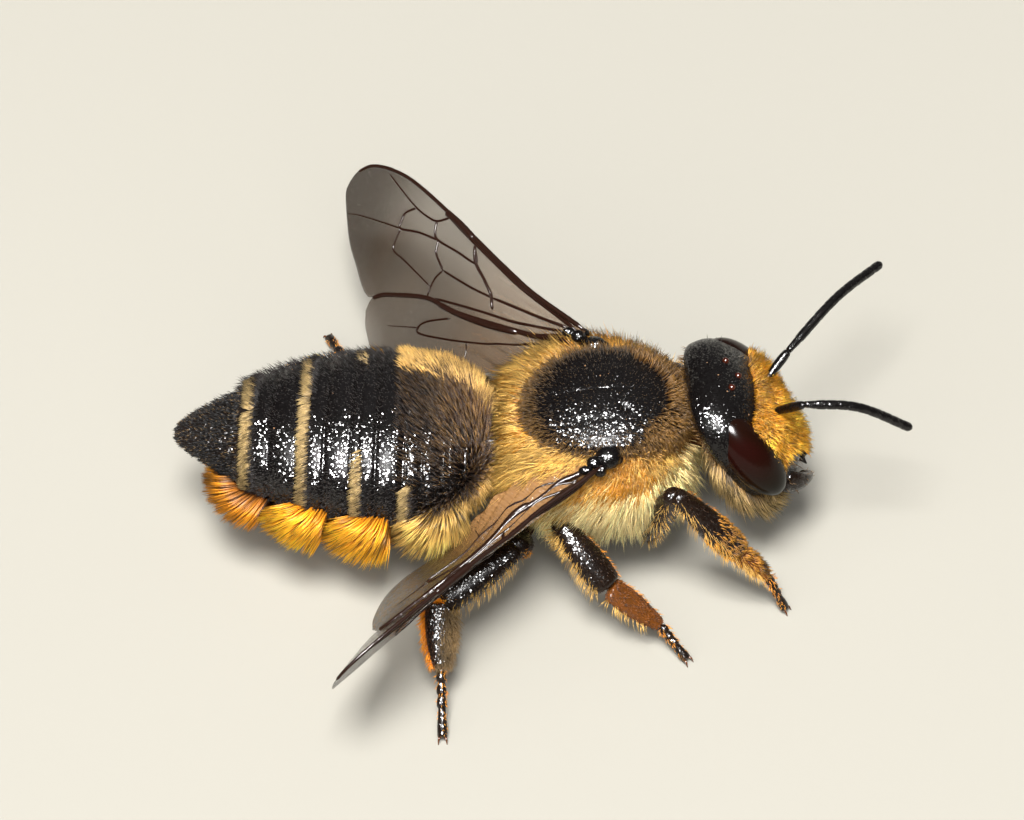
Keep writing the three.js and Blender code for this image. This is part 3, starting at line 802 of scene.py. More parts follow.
@dataclass
class Thorax:
    """The trunk that carries the wings and legs: a furred egg with a bare shield on top."""

    rear: float = -0.55
    front: float = 3.5
    axis: float = 2.45
    half_width: float = 2.25
    rise: float = 1.82
    drop: float = 1.72
    coat_depth: float = 0.5
    top_depth: float = 0.34
    shield_x: float = 1.7
    shield_length: float = 3.32
    shield_width: float = 2.62
    shield_top: float = 4.11
    shield_power: float = 2.15
    columns: int = 96
    hips: dict[str, tuple[Point, Point]] = field(default_factory=lambda: {
        "front": ((2.6, -0.7, 1.2), (2.5, -1.36, 1.08)),
        "middle": ((1.3, -0.75, 1.1), (1.0, -1.44, 0.98)),
        "hind": ((-0.05, -0.7, 1.3), (-0.25, -1.32, 1.14)),
    })

    def trunk(self, depth_share: float = 1.0) -> Skin:
        """The trunk's surface, at a share of the coat's depth below the hair tips."""
        rows = 48
        turn = np.linspace(0.06, math.pi - 0.06, rows)
        along = -np.cos(turn)
        swell = (1 - np.abs(along) ** 2.5) ** 0.46
        depth = self.coat_depth * depth_share
        top = self.top_depth * depth_share
        x = (self.rear + depth * 0.7) + (along + 1) / 2 * (self.front - self.rear - depth * 1.3)
        across, height = superellipse(
            self.columns, (self.half_width - depth) * swell, (self.rise - top) * swell,
            (self.drop - depth * 0.85) * swell, 2.1,
        )
        x_all = np.repeat(x[:, None], self.columns, axis=1)
        return Skin(np.stack([x_all, across, self.axis + height], axis=-1)[::-1])

    def shield(self) -> Skin:
        """The bare shield: a low dome with a rolled rim, from its middle out and down."""
        rows = 30
        out = np.concatenate([np.linspace(0.03, 1.0, rows), np.full(3, 1.0) + np.array([0.012, 0.014, 0.01])])
        sink = np.concatenate([0.05 * smooth_step(0.86, 1.0, np.linspace(0.03, 1.0, rows)), [0.12, 0.28, 0.45]])
        half_width = out * self.shield_width / 2
        along, across = superellipse(
            self.columns, out * self.shield_length / 2, half_width, half_width, self.shield_power
        )
        dome = 2.0 * np.sqrt(1 - (along / 2.5) ** 2 - (across / 2.7) ** 2) - 2.0
        # A shallow furrow down the middle, one over each wing root and a worn dimple on the right.
        furrows = 0.014 * hump(across, 0.0, 0.05) + 0.01 * hump(np.abs(across), 0.72, 0.06)
        furrows = furrows + 0.11 * hump(np.hypot(along - 0.34, across + 0.5), 0.0, 0.075)
        z = self.shield_top + dome - sink[:, None] - furrows * (out < 0.9)[:, None]
        return Skin(np.stack([self.shield_x + along, across, z], axis=-1))

    def rim_share(self, place: Array) -> Array:
        """How far out a place is from the middle of the shield: 1 at its rim."""
        along = np.abs(place[:, 0] - self.shield_x) / (self.shield_length / 2)
        across = np.abs(place[:, 1]) / (self.shield_width / 2)
        return (along**self.shield_power + across**self.shield_power) ** (1 / self.shield_power)

    def build_skin(self, chitin: Material) -> None:
        """The one skin under the coat: trunk, neck, waist and the six hips, joined without a seam."""
        parts = [self.trunk()]
        neck = curve_through([(3.1, 0, 2.7), (3.6, 0, 2.75), (4.2, 0, 2.8)], 14)
        parts.append(tube(neck, np.full(14, 0.55), np.full(14, 0.5), columns=24))
        waist = curve_through([(0.3, 0, 2.6), (-0.7, -0.02, 2.62), (-1.1, 0.02, 2.62)], 12)
        parts.append(tube(waist, np.full(12, 0.4), np.full(12, 0.36), columns=24))
        for hip, ring in self.hips.values():
            for side in SIDES.values():
                ends = [(x, y * -side, z) for x, y, z in (hip, ring)]
                path = curve_through(ends, 12)
                fat = 0.36 * np.sqrt(np.clip(1 - (2 * np.linspace(0.03, 0.97, 12) - 1) ** 4, 0.02, 1))
                parts.append(tube(path, fat, fat * 0.9))
        nodes = ["thorax", "neck", "petiole"]
        nodes += [f"coxa_{leg}_{side}" for leg in self.hips for side in SIDES]
        join_skin(make_piece("body_skin", parts, chitin, nodes))

    def build_shield(self, chitin: Material) -> None:
        """The bare black shield."""
        make_piece("thorax_shield", [self.shield()], chitin, ["scutum"])

    def comb(self, roots: Roots) -> Array:
        """The lie of the coat: outward from the shield, back and down."""
        out = roots.place - np.array([self.shield_x, 0.0, 0.0])
        out[:, 2] = 0
        low = smooth_step(3.2, 2.0, roots.z)[:, None]
        sway = 0.35 * mottle(roots.place, 1.1, 5)[:, None] * AHEAD
        return unit(out) * (1 - 0.6 * low) - AHEAD * (0.45 - 0.3 * low) - UP * (0.25 + 0.9 * low) + sway

    def outside(self, roots: Roots) -> Array:
        """Dense everywhere but on the shield, the neck and the waist."""
        on_top = roots.normal[:, 2] > 0.25
        bare = np.where(on_top, smooth_step(0.93, 1.06, self.rim_share(roots.place)), 1.0)
        return bare * (0.35 + 0.65 * smooth_step(1.1, 1.5, roots.z))

    def near_rim(self, roots: Roots, middle: float, width: float) -> Array:
        """A ring on top, at a share of the way out to the shield's rim."""
        return (roots.normal[:, 2] > 0.2) * hump(self.rim_share(roots.place), middle, width)

    def grow_coat(self, coat: Coat) -> None:
        """The long golden coat round the shield, pale cream below, and the short dark nap on the shield."""
        trunk, shield = self.trunk(), self.shield()
        cream = HairStyle(0.78, Tint.CREAM_ROOT, Tint.CREAM, width=0.014, lift=0.5, bend=0.7, streaks=0.35, clump=0.6,
                          clump_size=0.18, dark_strands=0.08)
        self.grow_upper(coat, trunk, cream)
        lower = trunk.scatter(16_500, 14, lambda r: self.outside(r) * smooth_step(3.1, 2.5, r.z))
        coat.add(lower, self.comb(lower), cream, 15)
        throat = trunk.scatter(
            2_200, 25, lambda r: smooth_step(2.7, 3.1, r.x) * smooth_step(3.0, 2.6, r.z),
        )
        coat.add(throat, 0.5 * AHEAD - UP + 0.3 * SIDEWAYS * np.sign(throat.place[:, 1:2]), cream, 26, 1.15)

        def beside_cap(roots: Roots) -> Array:
            """Between the shield and the cap over each wing root."""
            along = hump(roots.x, 1.65, 0.55) * (np.abs(roots.y) > 0.9)
            return self.near_rim(roots, 1.05, 0.07) * along

        def front_corners(roots: Roots) -> Array:
            """The front corners of the shield, more so on the left."""
            out = smooth_step(0.72, 0.95, self.rim_share(roots.place)) * smooth_step(2.3, 2.9, roots.x)
            return out * (0.12 + smooth_step(0.1, 0.6, roots.y))

        upright = HairStyle(0.44, Tint.BROWN, Tint.BUFF, width=0.013, lift=0.9, bend=0.15, clump=0.4)
        brown = HairStyle(0.3, Tint.BROWN, Tint.TAWNY, width=0.010, lift=0.55, bend=0.4, clump=0.3)
        tawny = replace(brown, width=0.012, lift=0.65, bend=0.3)
        tufts = trunk.scatter(1_500, 24, beside_cap)
        coat.add(tufts, self.comb(tufts), upright, 27)
        fringe = trunk.scatter(4_200, 16, lambda r: self.near_rim(r, 1.0, 0.09))
        coat.add(fringe, self.comb(fringe), brown, 17, 1.0, 0.8)

        nap = shield.scatter(4_600, 18, lambda r: 0.25 + smooth_step(0.6, 1.0, self.rim_share(r.place)))
        toward_rim = nap.place - np.array([self.shield_x, 0.0, nap.z.mean()])
        short = HairStyle(0.2, Tint.DARK_BROWN, Tint.TAWNY, width=0.008, lift=0.6, bend=0.3, clump=0.1)
        rim = smooth_step(0.6, 1.0, self.rim_share(nap.place))
        coat.add(nap, toward_rim, short, 19, 0.3 + 0.8 * rim, 0.25 + 0.5 * rim)
        corners = shield.scatter(1_500, 28, front_corners)
        coat.add(corners, self.comb(corners), tawny, 29)

    def grow_upper(self, coat: Coat, trunk: Skin, cream: HairStyle) -> None:
        """The upper coat: golden, with warmer and cream hairs among it and dark brown hairs at the front."""
        upper = trunk.scatter(23_500, 11, lambda r: self.outside(r) * smooth_step(2.45, 3.0, r.z))
        x, y, z = upper.place.T
        shoulder = smooth_step(0.5, 1.1, y) * hump(x, 2.9, 0.6)
        over_cap = smooth_step(0.9, 1.2, y) * hump(x, 1.5, 0.75)
        choice = np.random.default_rng(31).random(len(x))
        # Dark umber hairs, a little shorter, on top of the front, mostly over the middle and the right.
        dark_front = smooth_step(2.45, 2.75, x) * smooth_step(0.75, 0.35, y) * smooth_step(3.05, 3.3, z)
        is_dark = choice < 0.92 * dark_front
        is_cream = ~is_dark & (choice < 0.9 * smooth_step(3.15, 2.85, z) * smooth_step(0.7, 1.2, x))
        warm = 0.22 + 0.25 * mottle(upper.place, 0.9, 21) + 0.65 * hump(x, 1.95, 0.55) * smooth_step(2.8, 3.1, z)
        is_warm = ~is_dark & ~is_cream & (1 - choice < warm)
        is_golden = ~is_dark & ~is_cream & ~is_warm
        length = 0.5 + 0.5 * smooth_step(1.0, 1.35, self.rim_share(upper.place))
        length = np.clip(length + 0.1 * smooth_step(0.6, 1.4, y) + 0.35 * shoulder + 0.5 * over_cap, 0, 1.6)
        length = length * (1 + 0.75 * smooth_step(0.7, -0.1, x)) * (1 - 0.3 * dark_front)
        golden = HairStyle(0.72, Tint.GOLDEN_ROOT, Tint.GOLDEN, width=0.012, lift=0.58, bend=0.5, streaks=0.4,
                           clump=0.5, frizz=0.22, dark_strands=0.07)
        orange = replace(golden, length=0.66, root=Tint.TUFT_ROOT, tip=Tint.TUFT, width=0.014, frizz=0.18)
        umber = HairStyle(0.6, Tint.DARK_BROWN, Tint.BROWN, width=0.013, lift=0.5, bend=0.6, streaks=0.4, clump=0.4)
        looks = ((is_golden, golden, 12), (is_warm, orange, 13), (is_cream, cream, 23), (is_dark, umber, 30))
        for chosen, style, seed in looks:
            some = upper.pick(chosen)
            coat.add(some, self.comb(some), style, seed, length[chosen])


# -------- abdomen


@dataclass
class Abdomen:
    """Six overlapping plates from the waist to the tail tip, with pale bands and a pollen brush below."""

    waist: Point = (-0.74, -0.02, 2.62)
    yaw: float = math.radians(-7.3)
    length: float = 6.38
    half_width: float = 2.075
    rise: float = 1.34
    drop: float = 1.22
    widest: float = 0.3
    ends: tuple[float, ...] = (0.0, 0.13, 0.265, 0.42, 0.595, 0.78, 1.0)
    brush_centres: tuple[float, ...] = (0.2, 0.412, 0.607, 0.788)
    brush_length: float = 1.58
    brush_reach: float = 1.03
    spine_y: float = 0.6
    tail_start: float = 0.79
    furred_plates: int = 2
    columns: int = 120

    def matrix(self) -> Matrix:
        """The move from the abdomen's own frame, whose origin is the waist, to the bee's."""
        return Matrix.Translation(self.waist) @ Matrix.Rotation(self.yaw, 4, "Z")

    @property
    def back(self) -> Array:
        """The way from the waist to the tail."""
        return turned(self.matrix(), -AHEAD)

    def swell(self, share: Array) -> Array:
        """How full the abdomen is at a share of its length: blunt at the waist, pointed at the tip."""
        s = np.clip(share, 0.004, 0.997)
        front = np.sqrt(np.clip(1 - (1 - s / self.widest) ** 2, 0, 1)) ** 0.8
        rear = np.cos(math.pi / 2 * np.clip((s - self.widest) / (1 - self.widest), 0, 1)) ** 0.65
        body = np.where(s < self.widest, front, rear)
        behind = np.clip((s - self.ends[5]) / (1 - self.ends[5]), 0, 1)
        tail = (0.51 - 0.37 * behind) * np.sqrt(1 - behind**9)
        slim = smooth_step(self.ends[5] + 0.001, self.ends[5] + 0.02, s)
        return body * (1 - slim) + tail * slim

    def sheath(self, shares: Array, lift: Array) -> Skin:
        """A stretch of the abdomen, raised by lift millimetres, in the bee's frame."""
        swell = self.swell(shares)
        across, height = superellipse(
            self.columns, self.half_width * swell + lift, self.rise * swell + lift, self.drop * swell + lift, 2.2
        )
        x = np.repeat(-shares[:, None] * self.length, self.columns, axis=1)
        return Skin(np.stack([x, across, height], axis=-1)).moved(self.matrix())

    def strip(self, start: float, end: float, rows: int, lift: float) -> Skin:
        """An evenly raised stretch between two shares of the length."""
        return self.sheath(np.linspace(start, end, rows), np.full(rows, lift))

    def plate(self, number: int) -> Skin:
        """One plate: a step at its front, a groove across its middle and a raised rear rim."""
        start, end = self.ends[number - 1], self.ends[number]
        last = number == len(self.ends) - 1
        t = np.linspace(-0.1 if number > 1 else 0.02, 0.995 if last else 1.0, 40)
        shares = start + (end - start) * t
        lift = (-0.02 if last else -0.1) - 0.07 * smooth_step(0.06, -0.08, t)
        if not last:
            lift = lift + 0.035 * hump(t, 0.26, 0.2) + 0.04 * hump(t, 0.74, 0.22)
            lift = lift - 0.045 * hump(t, 0.5, 0.035) - 0.02 * hump(t, 0.86, 0.03)
        if number <= self.furred_plates:
            lift = lift - 0.08
        return self.sheath(shares, lift)

    def local(self, roots: Roots) -> tuple[Array, Array]:
        """The share of the length and the angle from the top, for each root."""
        own = own_places(self.matrix(), roots.place)
        share = -own[:, 0] / self.length
        around = np.degrees(np.arctan2(np.abs(own[:, 1]) / self.half_width, own[:, 2] / self.rise))
        return share, around

    def build_plates(self, glossy: Material, matt: Material) -> None:
        """The six plates, the last one matt."""
        for number in range(1, len(self.ends)):
            finish = matt if number == len(self.ends) - 1 else glossy
            make_piece(f"abdomen_plate_{number}", [self.plate(number)], finish, [f"abdomen_{number}"])

    def grow_coat(self, coat: Coat, bands: Coat) -> None:
        """Long buff and brown hair in front, black bristles behind and a pale band at each rear rim."""
        back = self.back
        front = self.strip(0.008, self.ends[2], 40, -0.17)

        def buff_side(roots: Roots) -> Array:
            """Buff hair on the first plate's shoulders and along both sides, higher on the left."""
            share, around = self.local(roots)
            left = smooth_step(0.2, 0.7, roots.y)
            side = (1 - left) * smooth_step(90, 108, around) + left * smooth_step(24, 50, around)
            return np.clip(side + 0.3 * left * smooth_step(0.04, 0.015, share), 0, 1.1) * (around < 135)

        sides = front.scatter(7_500, 41, buff_side)
        buff = HairStyle(0.5, Tint.BUFF, Tint.DULL_GOLD, lift=0.6, bend=0.5, clump=0.45, streaks=0.35)
        share, _ = self.local(sides)
        coat.add(sides, back + 0.25 * UP, buff, 42, 0.7 + 0.4 * smooth_step(0.2, 0.03, share), 0.9)

        def brown_top(roots: Roots) -> Array:
            """Brown hair on the backs of the first two plates, worn thin along the right."""
            share, around = self.local(roots)
            worn = 1 - 0.75 * hump(around, 70, 24) * (roots.y < 0) * smooth_step(0.03, 0.07, share)
            return smooth_step(112, 92, around) * (0.3 + 0.7 * smooth_step(0.3, 0.06, share)) * worn

        for count, root, tip, seed in ((3_600, Tint.BLACK, Tint.BROWN, 43), (2_000, Tint.BROWN, Tint.TAWNY, 143)):
            tops = front.scatter(count, seed, brown_top)
            wispy = HairStyle(0.52, root, tip, width=0.008, lift=0.5, bend=0.45, clump=0.25, frizz=0.07, streaks=0.3)
            share, _ = self.local(tops)
            left = 0.45 * smooth_step(-1.0, 0.0, tops.y)
            comb = (left + 0.15 * mottle(tops.place, 1.6, 3))[:, None] * SIDEWAYS + 0.8 * UP
            zones = 0.35 + 0.32 * smooth_step(0.15, 0.1, share) + 0.3 * hump(share, 0.02, 0.03)
            coat.add(tops, back + comb, wispy, seed + 1, 0.6 + 0.5 * smooth_step(0.24, 0.05, share), zones)

        rear = self.strip(self.ends[2], self.tail_start, 60, -0.09)
        bristles = rear.scatter(
            6_000, 45, lambda r: (self.local(r)[1] < 105) * (1 - 0.55 * smooth_step(0.7, 1.4, r.y)),
        )
        black = HairStyle(0.22, Tint.BLACK, Tint.DARK_BROWN, width=0.009, lift=0.6, bend=0.4, clump=0.2)
        _, around = self.local(bristles)
        far = smooth_step(0.9, 1.6, bristles.y)
        coat.add(bristles, back, black, 46, 0.35 + 0.3 * smooth_step(40, 75, around) + 0.65 * far)

        tail = self.strip(self.tail_start, 0.995, 30, -0.01)

        def felted(roots: Roots) -> Array:
            """Even, but thin where the front of the tail is rubbed."""
            share, around = self.local(roots)
            return 1 - 0.8 * hump(around, 45, 22) * smooth_step(0.87, 0.82, share)

        felt = tail.scatter(2_600, 47, felted)
        nap = HairStyle(0.15, Tint.BLACK, Tint.BLACK, width=0.009, lift=0.5, bend=0.5, clump=0.2)
        coat.add(felt, back, nap, 48, 0.7 + 0.7 * smooth_step(0.95, 0.8, self.local(felt)[0]))
        pale_nap = HairStyle(0.07, Tint.BROWN, Tint.BAND_ROOT, width=0.008, lift=0.7, bend=0.3, clump=0.0, uneven=0.6)
        coat.add(tail.scatter(800, 49), back, pale_nap, 50)
        self.grow_bands(bands)

    def grow_bands(self, bands: Coat) -> None:
        """The pale bands, worn off on top of the front ones, with a few dark hairs across each."""
        pale = HairStyle(0.21, Tint.BAND_ROOT, Tint.BAND, width=0.011, lift=0.24, bend=0.5, frizz=0.06,
                         clump=0.25, clump_size=0.06, streaks=0.25, dark_strands=0.12)
        stroke = HairStyle(0.24, Tint.BLACK, Tint.DARK_BROWN, width=0.007, lift=0.4, bend=0.5, frizz=0.05, clump=0.0)
        # The angle from the top, in degrees, above which each plate's band is worn off.
        bare_above = {2: 58.0, 3: 30.0, 4: 0.0, 5: 0.0}
        for number, bare in bare_above.items():
            end = self.ends[number]
            rim = self.strip(end - 0.045, end - 0.02, 8, -0.06)
            shore = self.strip(end - 0.062, end - 0.046, 6, -0.07)

            def band(roots: Roots, bare: float = bare, number: int = number) -> Array:
                """Even, but thin where the band is worn off on top, and gone below."""
                _, around = self.local(roots)
                worn = smooth_step(bare, bare + 30, around) if bare > 0 else 0.7 + 0.3 * smooth_step(5, 30, around)
                rubbed = 1 - 0.85 * hump(roots.y, 0.45, 0.09) * (number == 4)
                return worn * rubbed * smooth_step(112, 108, around + (9 if number == 5 else 0))

            for skin, count, seed, style, slant, droop, shade in (
                (rim, 3_000 if bare == 0 else 1_700, 50, pale, 0.45, 0.3, 1.02),
                (shore, 520 if bare == 0 else 300, 150, stroke, 0.5, 0.0, 1.0),
            ):
                roots = skin.scatter(count, seed + number, band)
                inward = SIDEWAYS * np.sign(self.spine_y - roots.place[:, 1:2])
                lie = self.back - slant * inward - droop * UP
                bands.add(roots, lie, style, seed + 10 + number, 1.0, shade)

    def grow_brush(self, coat: Coat) -> None:
        """The pollen brush: four fans of long stiff hair under the belly, swept back and down."""
        stiff = HairStyle(self.brush_reach, Tint.BRUSH_ROOT, Tint.BRUSH, width=0.022, lift=0.92, bend=0.22, frizz=0.05,
                          uneven=0.1, clump=0.7, clump_size=0.12, streaks=0.6, dark_strands=0.16)
        looks = (
            replace(stiff, root=Tint.TAWNY, tip=Tint.GOLDEN), stiff, stiff,
            replace(stiff, root=Tint.RUST, tip=Tint.ORANGE_GOLD),
        )
        for i, (centre, style) in enumerate(zip(self.brush_centres, looks)):
            shrink = 0.7 + 0.3 * float(self.swell(np.array([centre]))[0])
            half = self.brush_length / 2 * shrink / self.length
            belly = self.strip(centre - half * 0.95, centre + half * 0.1, 20, -0.05)
            edge = 88 if i < 3 else 106
            roots = belly.scatter(4_300, 70 + i, lambda r: smooth_step(edge, edge + 10, self.local(r)[1]))
            share, around = self.local(roots)
            behind = (share - centre + half * 0.95) / (half * 1.05)
            spread = np.radians(92 - 74 * behind)[:, None]
            fan = roots.normal * np.sin(spread) + self.back * np.cos(spread)
            size = (0.62 + 0.38 * smooth_step(86, 118, around)) * (1 - 0.18 * (2 * behind - 0.9) ** 2)
            if i == 3:
                size = size * (1 - 0.45 * smooth_step(0.3, 0.9, roots.y))
            leaning = replace(roots, normal=unit(fan))
            coat.add(leaning, roots.back - 0.4 * UP, replace(style, length=style.length * shrink), 80 + i, size)


# -------- head


@dataclass
class Head:
    """The head: a thick black lens with big eyes, an orange face and toothed jaws.

    Its own frame has +X the way the face looks and +Z up the face to the crown.
    """

    centre: Point = (4.62, -0.14, 2.9)
    tilt: float = math.radians(-24)
    roll: float = math.radians(-7)
    # Height, front, back and half width of the bare head at each level.
    levels: tuple[tuple[float, ...], ...] = (
        (-1.5, 0.3, 0.05, 0.3), (-1.42, 0.42, -0.14, 0.6), (-1.2, 0.54, -0.34, 0.96), (-0.9, 0.62, -0.5, 1.24),
        (-0.4, 0.7, -0.64, 1.46), (0.2, 0.7, -0.7, 1.55), (0.7, 0.6, -0.72, 1.57), (1.1, 0.42, -0.72, 1.5),
        (1.4, 0.22, -0.72, 1.3), (1.6, 0.0, -0.68, 0.96), (1.7, -0.2, -0.58, 0.5),
    )
    front_power: float = 2.3
    back_power: float = 4.2
    eye_place: Point = (0.02, 1.23, 0.27)
    eye_half: Point = (0.51, 0.56, 1.1)
    eye_lean: float = 0.18
    eye_slant: float = -0.16
    ocellus_radius: float = 0.074
    ocelli: tuple[Point, ...] = ((0.33, -0.02, 1.29), (0.17, 0.35, 1.46), (0.2, -0.42, 1.43))
    # How far each feeler's root is from the middle, and how high.
    sockets: Pair = (0.42, 0.37)
    columns: int = 128

    def matrix(self) -> Matrix:
        """The move from the head's own frame to the bee's."""
        return Matrix.Translation(self.centre) @ Matrix.Rotation(self.roll, 4, "X") @ Matrix.Rotation(self.tilt, 4, "Y")

    def own(self, places: Array) -> Array:
        """How far ahead, to the left and up the head places in the bee's frame are, as three rows."""
        return own_places(self.matrix(), places).T

    def capsule(self) -> Skin:
        """The bare head, from the mouth up to the crown."""
        level = curve_through(self.levels, 90)
        z, front, back, wide = (column[:, None] for column in level.T)
        angle = np.linspace(0, 2 * math.pi, self.columns, endpoint=False)[None]
        power = np.where(np.sin(angle) > 0, self.front_power, self.back_power)
        across = wide * np.sign(np.cos(angle)) * np.abs(np.cos(angle)) ** (2 / power)
        ahead = np.sign(np.sin(angle)) * np.abs(np.sin(angle)) ** (2 / power)
        middle = 0.35 * front + 0.65 * back
        x = middle + np.where(ahead > 0, front - middle, middle - back) * ahead
        z = np.repeat(z, self.columns, axis=1)
        forward = smooth_step(0.0, 0.4, ahead)
        # The clypeus, a low keel between the feelers, a dip at each feeler's root and a swelling at the ocelli.
        x = x + forward * 0.14 * hump(z, -0.95, 0.42) * hump(across, 0.0, 0.75)
        x = x + forward * 0.05 * hump(z, 0.0, 0.35) * hump(across, 0.0, 0.16)
        x = x - forward * 0.07 * hump(z, self.sockets[1], 0.2) * hump(np.abs(across), self.sockets[0], 0.2)
        x = x + forward * 0.04 * hump(z, 1.25, 0.25) * hump(across, 0.0, 0.45)
        return Skin(np.stack([x, across, z], axis=-1)).moved(self.matrix())

    def eye(self, side: int) -> Skin:
        """One compound eye."""
        x, y, z = self.eye_place
        slanted = self.matrix() @ Matrix.Translation((x, y * side, z)) @ Matrix.Rotation(self.eye_slant, 4, "Y")
        return ball((0, 0, 0), self.eye_half, self.eye_lean * side, 40).moved(slanted)

    def build_capsule(self, chitin: Material) -> None:
        """The head's shell."""
        make_piece("head_shell", [self.capsule()], chitin, ["head"])

    def build_eyes(self, lens: Material, amber: Material) -> None:
        """Both eyes, with a painted olive reflection below and along the edge, and the three small eyes on the crown.
        """

        def pigment_and_reflection(points: Array) -> Array:
            """Red-brown above, with a painted olive reflection below and along a thin edge."""
            _, y, z = self.own(points)
            # The olive blended in below and at the edge is a painted reflection over the red-brown.
            low = smooth_step(0.9, -0.7, z)[:, None]
            edge = smooth_step(1.6, 1.4, np.abs(y))[:, None] * 0.4
            blend = np.clip(low + edge, 0, 1)
            return Tint.EYE_RED.linear * (1 - blend) + Tint.EYE_OLIVE_REFLECTION.linear * blend

        for name, side in SIDES.items():
            make_piece(f"eye_dome_{name}", [self.eye(side)], lens, [f"eye_{name}"], pigment_and_reflection)
        names = ("ocellus_front", "ocellus_left", "ocellus_right")
        for name, place in zip(names, self.ocelli):
            bead = ball(place, (self.ocellus_radius,) * 3, 0.0, 14).moved(self.matrix())
            make_piece(f"{name}_bead", [bead], amber, [name])

    def jaw(self, side: int) -> tuple[Skin, ...]:
        """One jaw, a curved blade with two teeth."""
        route = curve_through([(0.16, 0.95 * side, -1.0), (0.46, 0.76 * side, -1.4), (0.5, 0.22 * side, -1.76)], 20)
        t = np.linspace(0, 1, 20)
        ends = np.sqrt(np.clip(1 - (2 * t - 1) ** 8, 0.02, 1))
        blade = tube(route, (0.3 - 0.1 * t) * ends, (0.19 - 0.08 * t) * ends, SIDEWAYS)
        teeth = []
        for share, reach in ((0.97, 0.16), (0.8, 0.13)):
            root = np.array([0.48, (0.92 - 0.7 * share) * side, -1.02 - 0.72 * share])
            tip = root + np.array([0.06, -0.5 * side * reach, -reach])
            path = curve_through([root, tip], 6)
            teeth.append(tube(path, np.linspace(0.09, 0.015, 6), np.linspace(0.07, 0.012, 6), SIDEWAYS, 10))
        return tuple(s.moved(self.matrix()) for s in (blade, *teeth))

    def build_jaws(self, chitin: Material) -> None:
        """Both jaws."""
        for name, side in SIDES.items():
            make_piece(f"jaw_{name}", self.jaw(side), chitin, [f"mandible_{name}"])

    def grow_coat(self, face: Coat, coat: Coat) -> None:
        """The orange face, the cream beard under the cheeks and fine dark hair on the crown."""
        capsule = self.capsule()
        down = turned(self.matrix(), -UP)

        def on_face(roots: Roots) -> Array:
            """Between the eyes, from above the jaws to above the feelers, thin near each feeler's root."""
            x, y, z = self.own(roots.place)
            facing = smooth_step(0.24, 0.44, x + 0.1 * z)
            inner = smooth_step(1.3, 1.1, np.abs(y) + 0.1 * z)
            foot = -0.22 - 0.85 * hump(y, 0.0, 0.55)
            crown = 0.95 - 0.25 * smooth_step(0.5, 1.1, y)
            heights = smooth_step(-0.12, 0.1, z - foot) * smooth_step(0.0, -0.3, z - crown)
            root = np.hypot(np.abs(y) - self.sockets[0], z - self.sockets[1])
            return facing * inner * heights * smooth_step(0.06, 0.16, root)

        roots = capsule.scatter(10_500, 101, on_face)
        _, y, z = self.own(roots.place)
        outward = np.stack([np.full(len(y), 0.3), 0.6 * y, 0.4 * z - 0.35], axis=1)
        lie = turned(self.matrix(), outward)
        short = (0.55 + 0.45 * smooth_step(0.9, 0.2, z)) * (1 - 0.22 * smooth_step(0.4, 0.0, z))
        deep = 0.6 + 0.4 * smooth_step(0.85, 0.35, z)
        orange = HairStyle(0.35, Tint.FACE_ROOT, Tint.FACE, width=0.011, lift=0.72, bend=0.4, frizz=0.2, uneven=0.4,
                           clump=0.6, clump_size=0.18, streaks=0.5, dark_strands=0.08)
        gold = replace(orange, length=0.39, root=Tint.FACE, tip=Tint.FACE_PALE, streaks=0.45, dark_strands=0.04)
        pale = 0.3 + 0.45 * smooth_step(0.2, -0.8, z) + 0.2 * mottle(roots.place, 0.5, 33)
        is_gold = np.random.default_rng(102).random(len(z)) < pale
        for chosen, style, seed in ((~is_gold, orange, 103), (is_gold, gold, 104)):
            some = roots.pick(chosen)
            face.add(some, lie[chosen], style, seed, short[chosen], deep[chosen])

        def above_jaws(roots: Roots) -> Array:
            """The lower edge of the face."""
            x, _, z = self.own(roots.place)
            return smooth_step(-0.6, -0.9, z) * (x > 0.1)

        tawny_chin = HairStyle(0.22, Tint.BROWN, Tint.TAWNY, width=0.010, lift=0.5, bend=0.5, clump=0.4)
        face.add(capsule.scatter(220, 111, above_jaws), down, tawny_chin, 112, 1.0, 0.7)
        for side in SIDES.values():
            on_jaw = self.jaw(side)[0].scatter(30, 113 + side)
            face.add(on_jaw, on_jaw.back, tawny_chin, 115 + side, 0.7, 0.7)

        def beard(roots: Roots) -> Array:
            """Under and behind the cheeks."""
            x, _, z = self.own(roots.place)
            behind = smooth_step(-0.5, -0.64, x + 0.12 * z)
            return smooth_step(0.6, -0.2, z) * behind + 0.3 * smooth_step(-0.8, -1.15, z) * (x < 0.0)

        chin = capsule.scatter(7_000, 105, beard)
        cream = HairStyle(0.66, Tint.TAWNY, Tint.PALE_BUFF, width=0.012, lift=0.45, bend=0.6, clump=0.5, streaks=0.5,
                          dark_strands=0.22)
        shorter = 1 - 0.4 * smooth_step(-0.35, -0.05, self.own(chin.place)[0])
        outward = 0.5 * SIDEWAYS * np.sign(chin.place[:, 1:2])
        coat.add(chin, down + outward - 0.05 * AHEAD, cream, 106, shorter, 0.7)

        def nape(roots: Roots) -> Array:
            """A small tuft on each side of the back of the head."""
            x, _, z = self.own(roots.place)
            return smooth_step(-0.6, -0.75, x) * hump(z, 0.85, 0.3)

        tawny = replace(tawny_chin, length=0.2, lift=0.6, bend=0.4)
        coat.add(capsule.scatter(450, 107, nape), UP - 0.3 * AHEAD, tawny, 108, 1.0, 0.7)
        crown = capsule.scatter(160, 109, lambda r: smooth_step(0.5, 1.0, self.own(r.place)[2]))
        fine = HairStyle(0.13, Tint.BLACK, Tint.DARK_BROWN, width=0.007, lift=0.8, bend=0.2, clump=0.0)
        coat.add(crown, turned(self.matrix(), AHEAD), fine, 110)


# -------- feelers


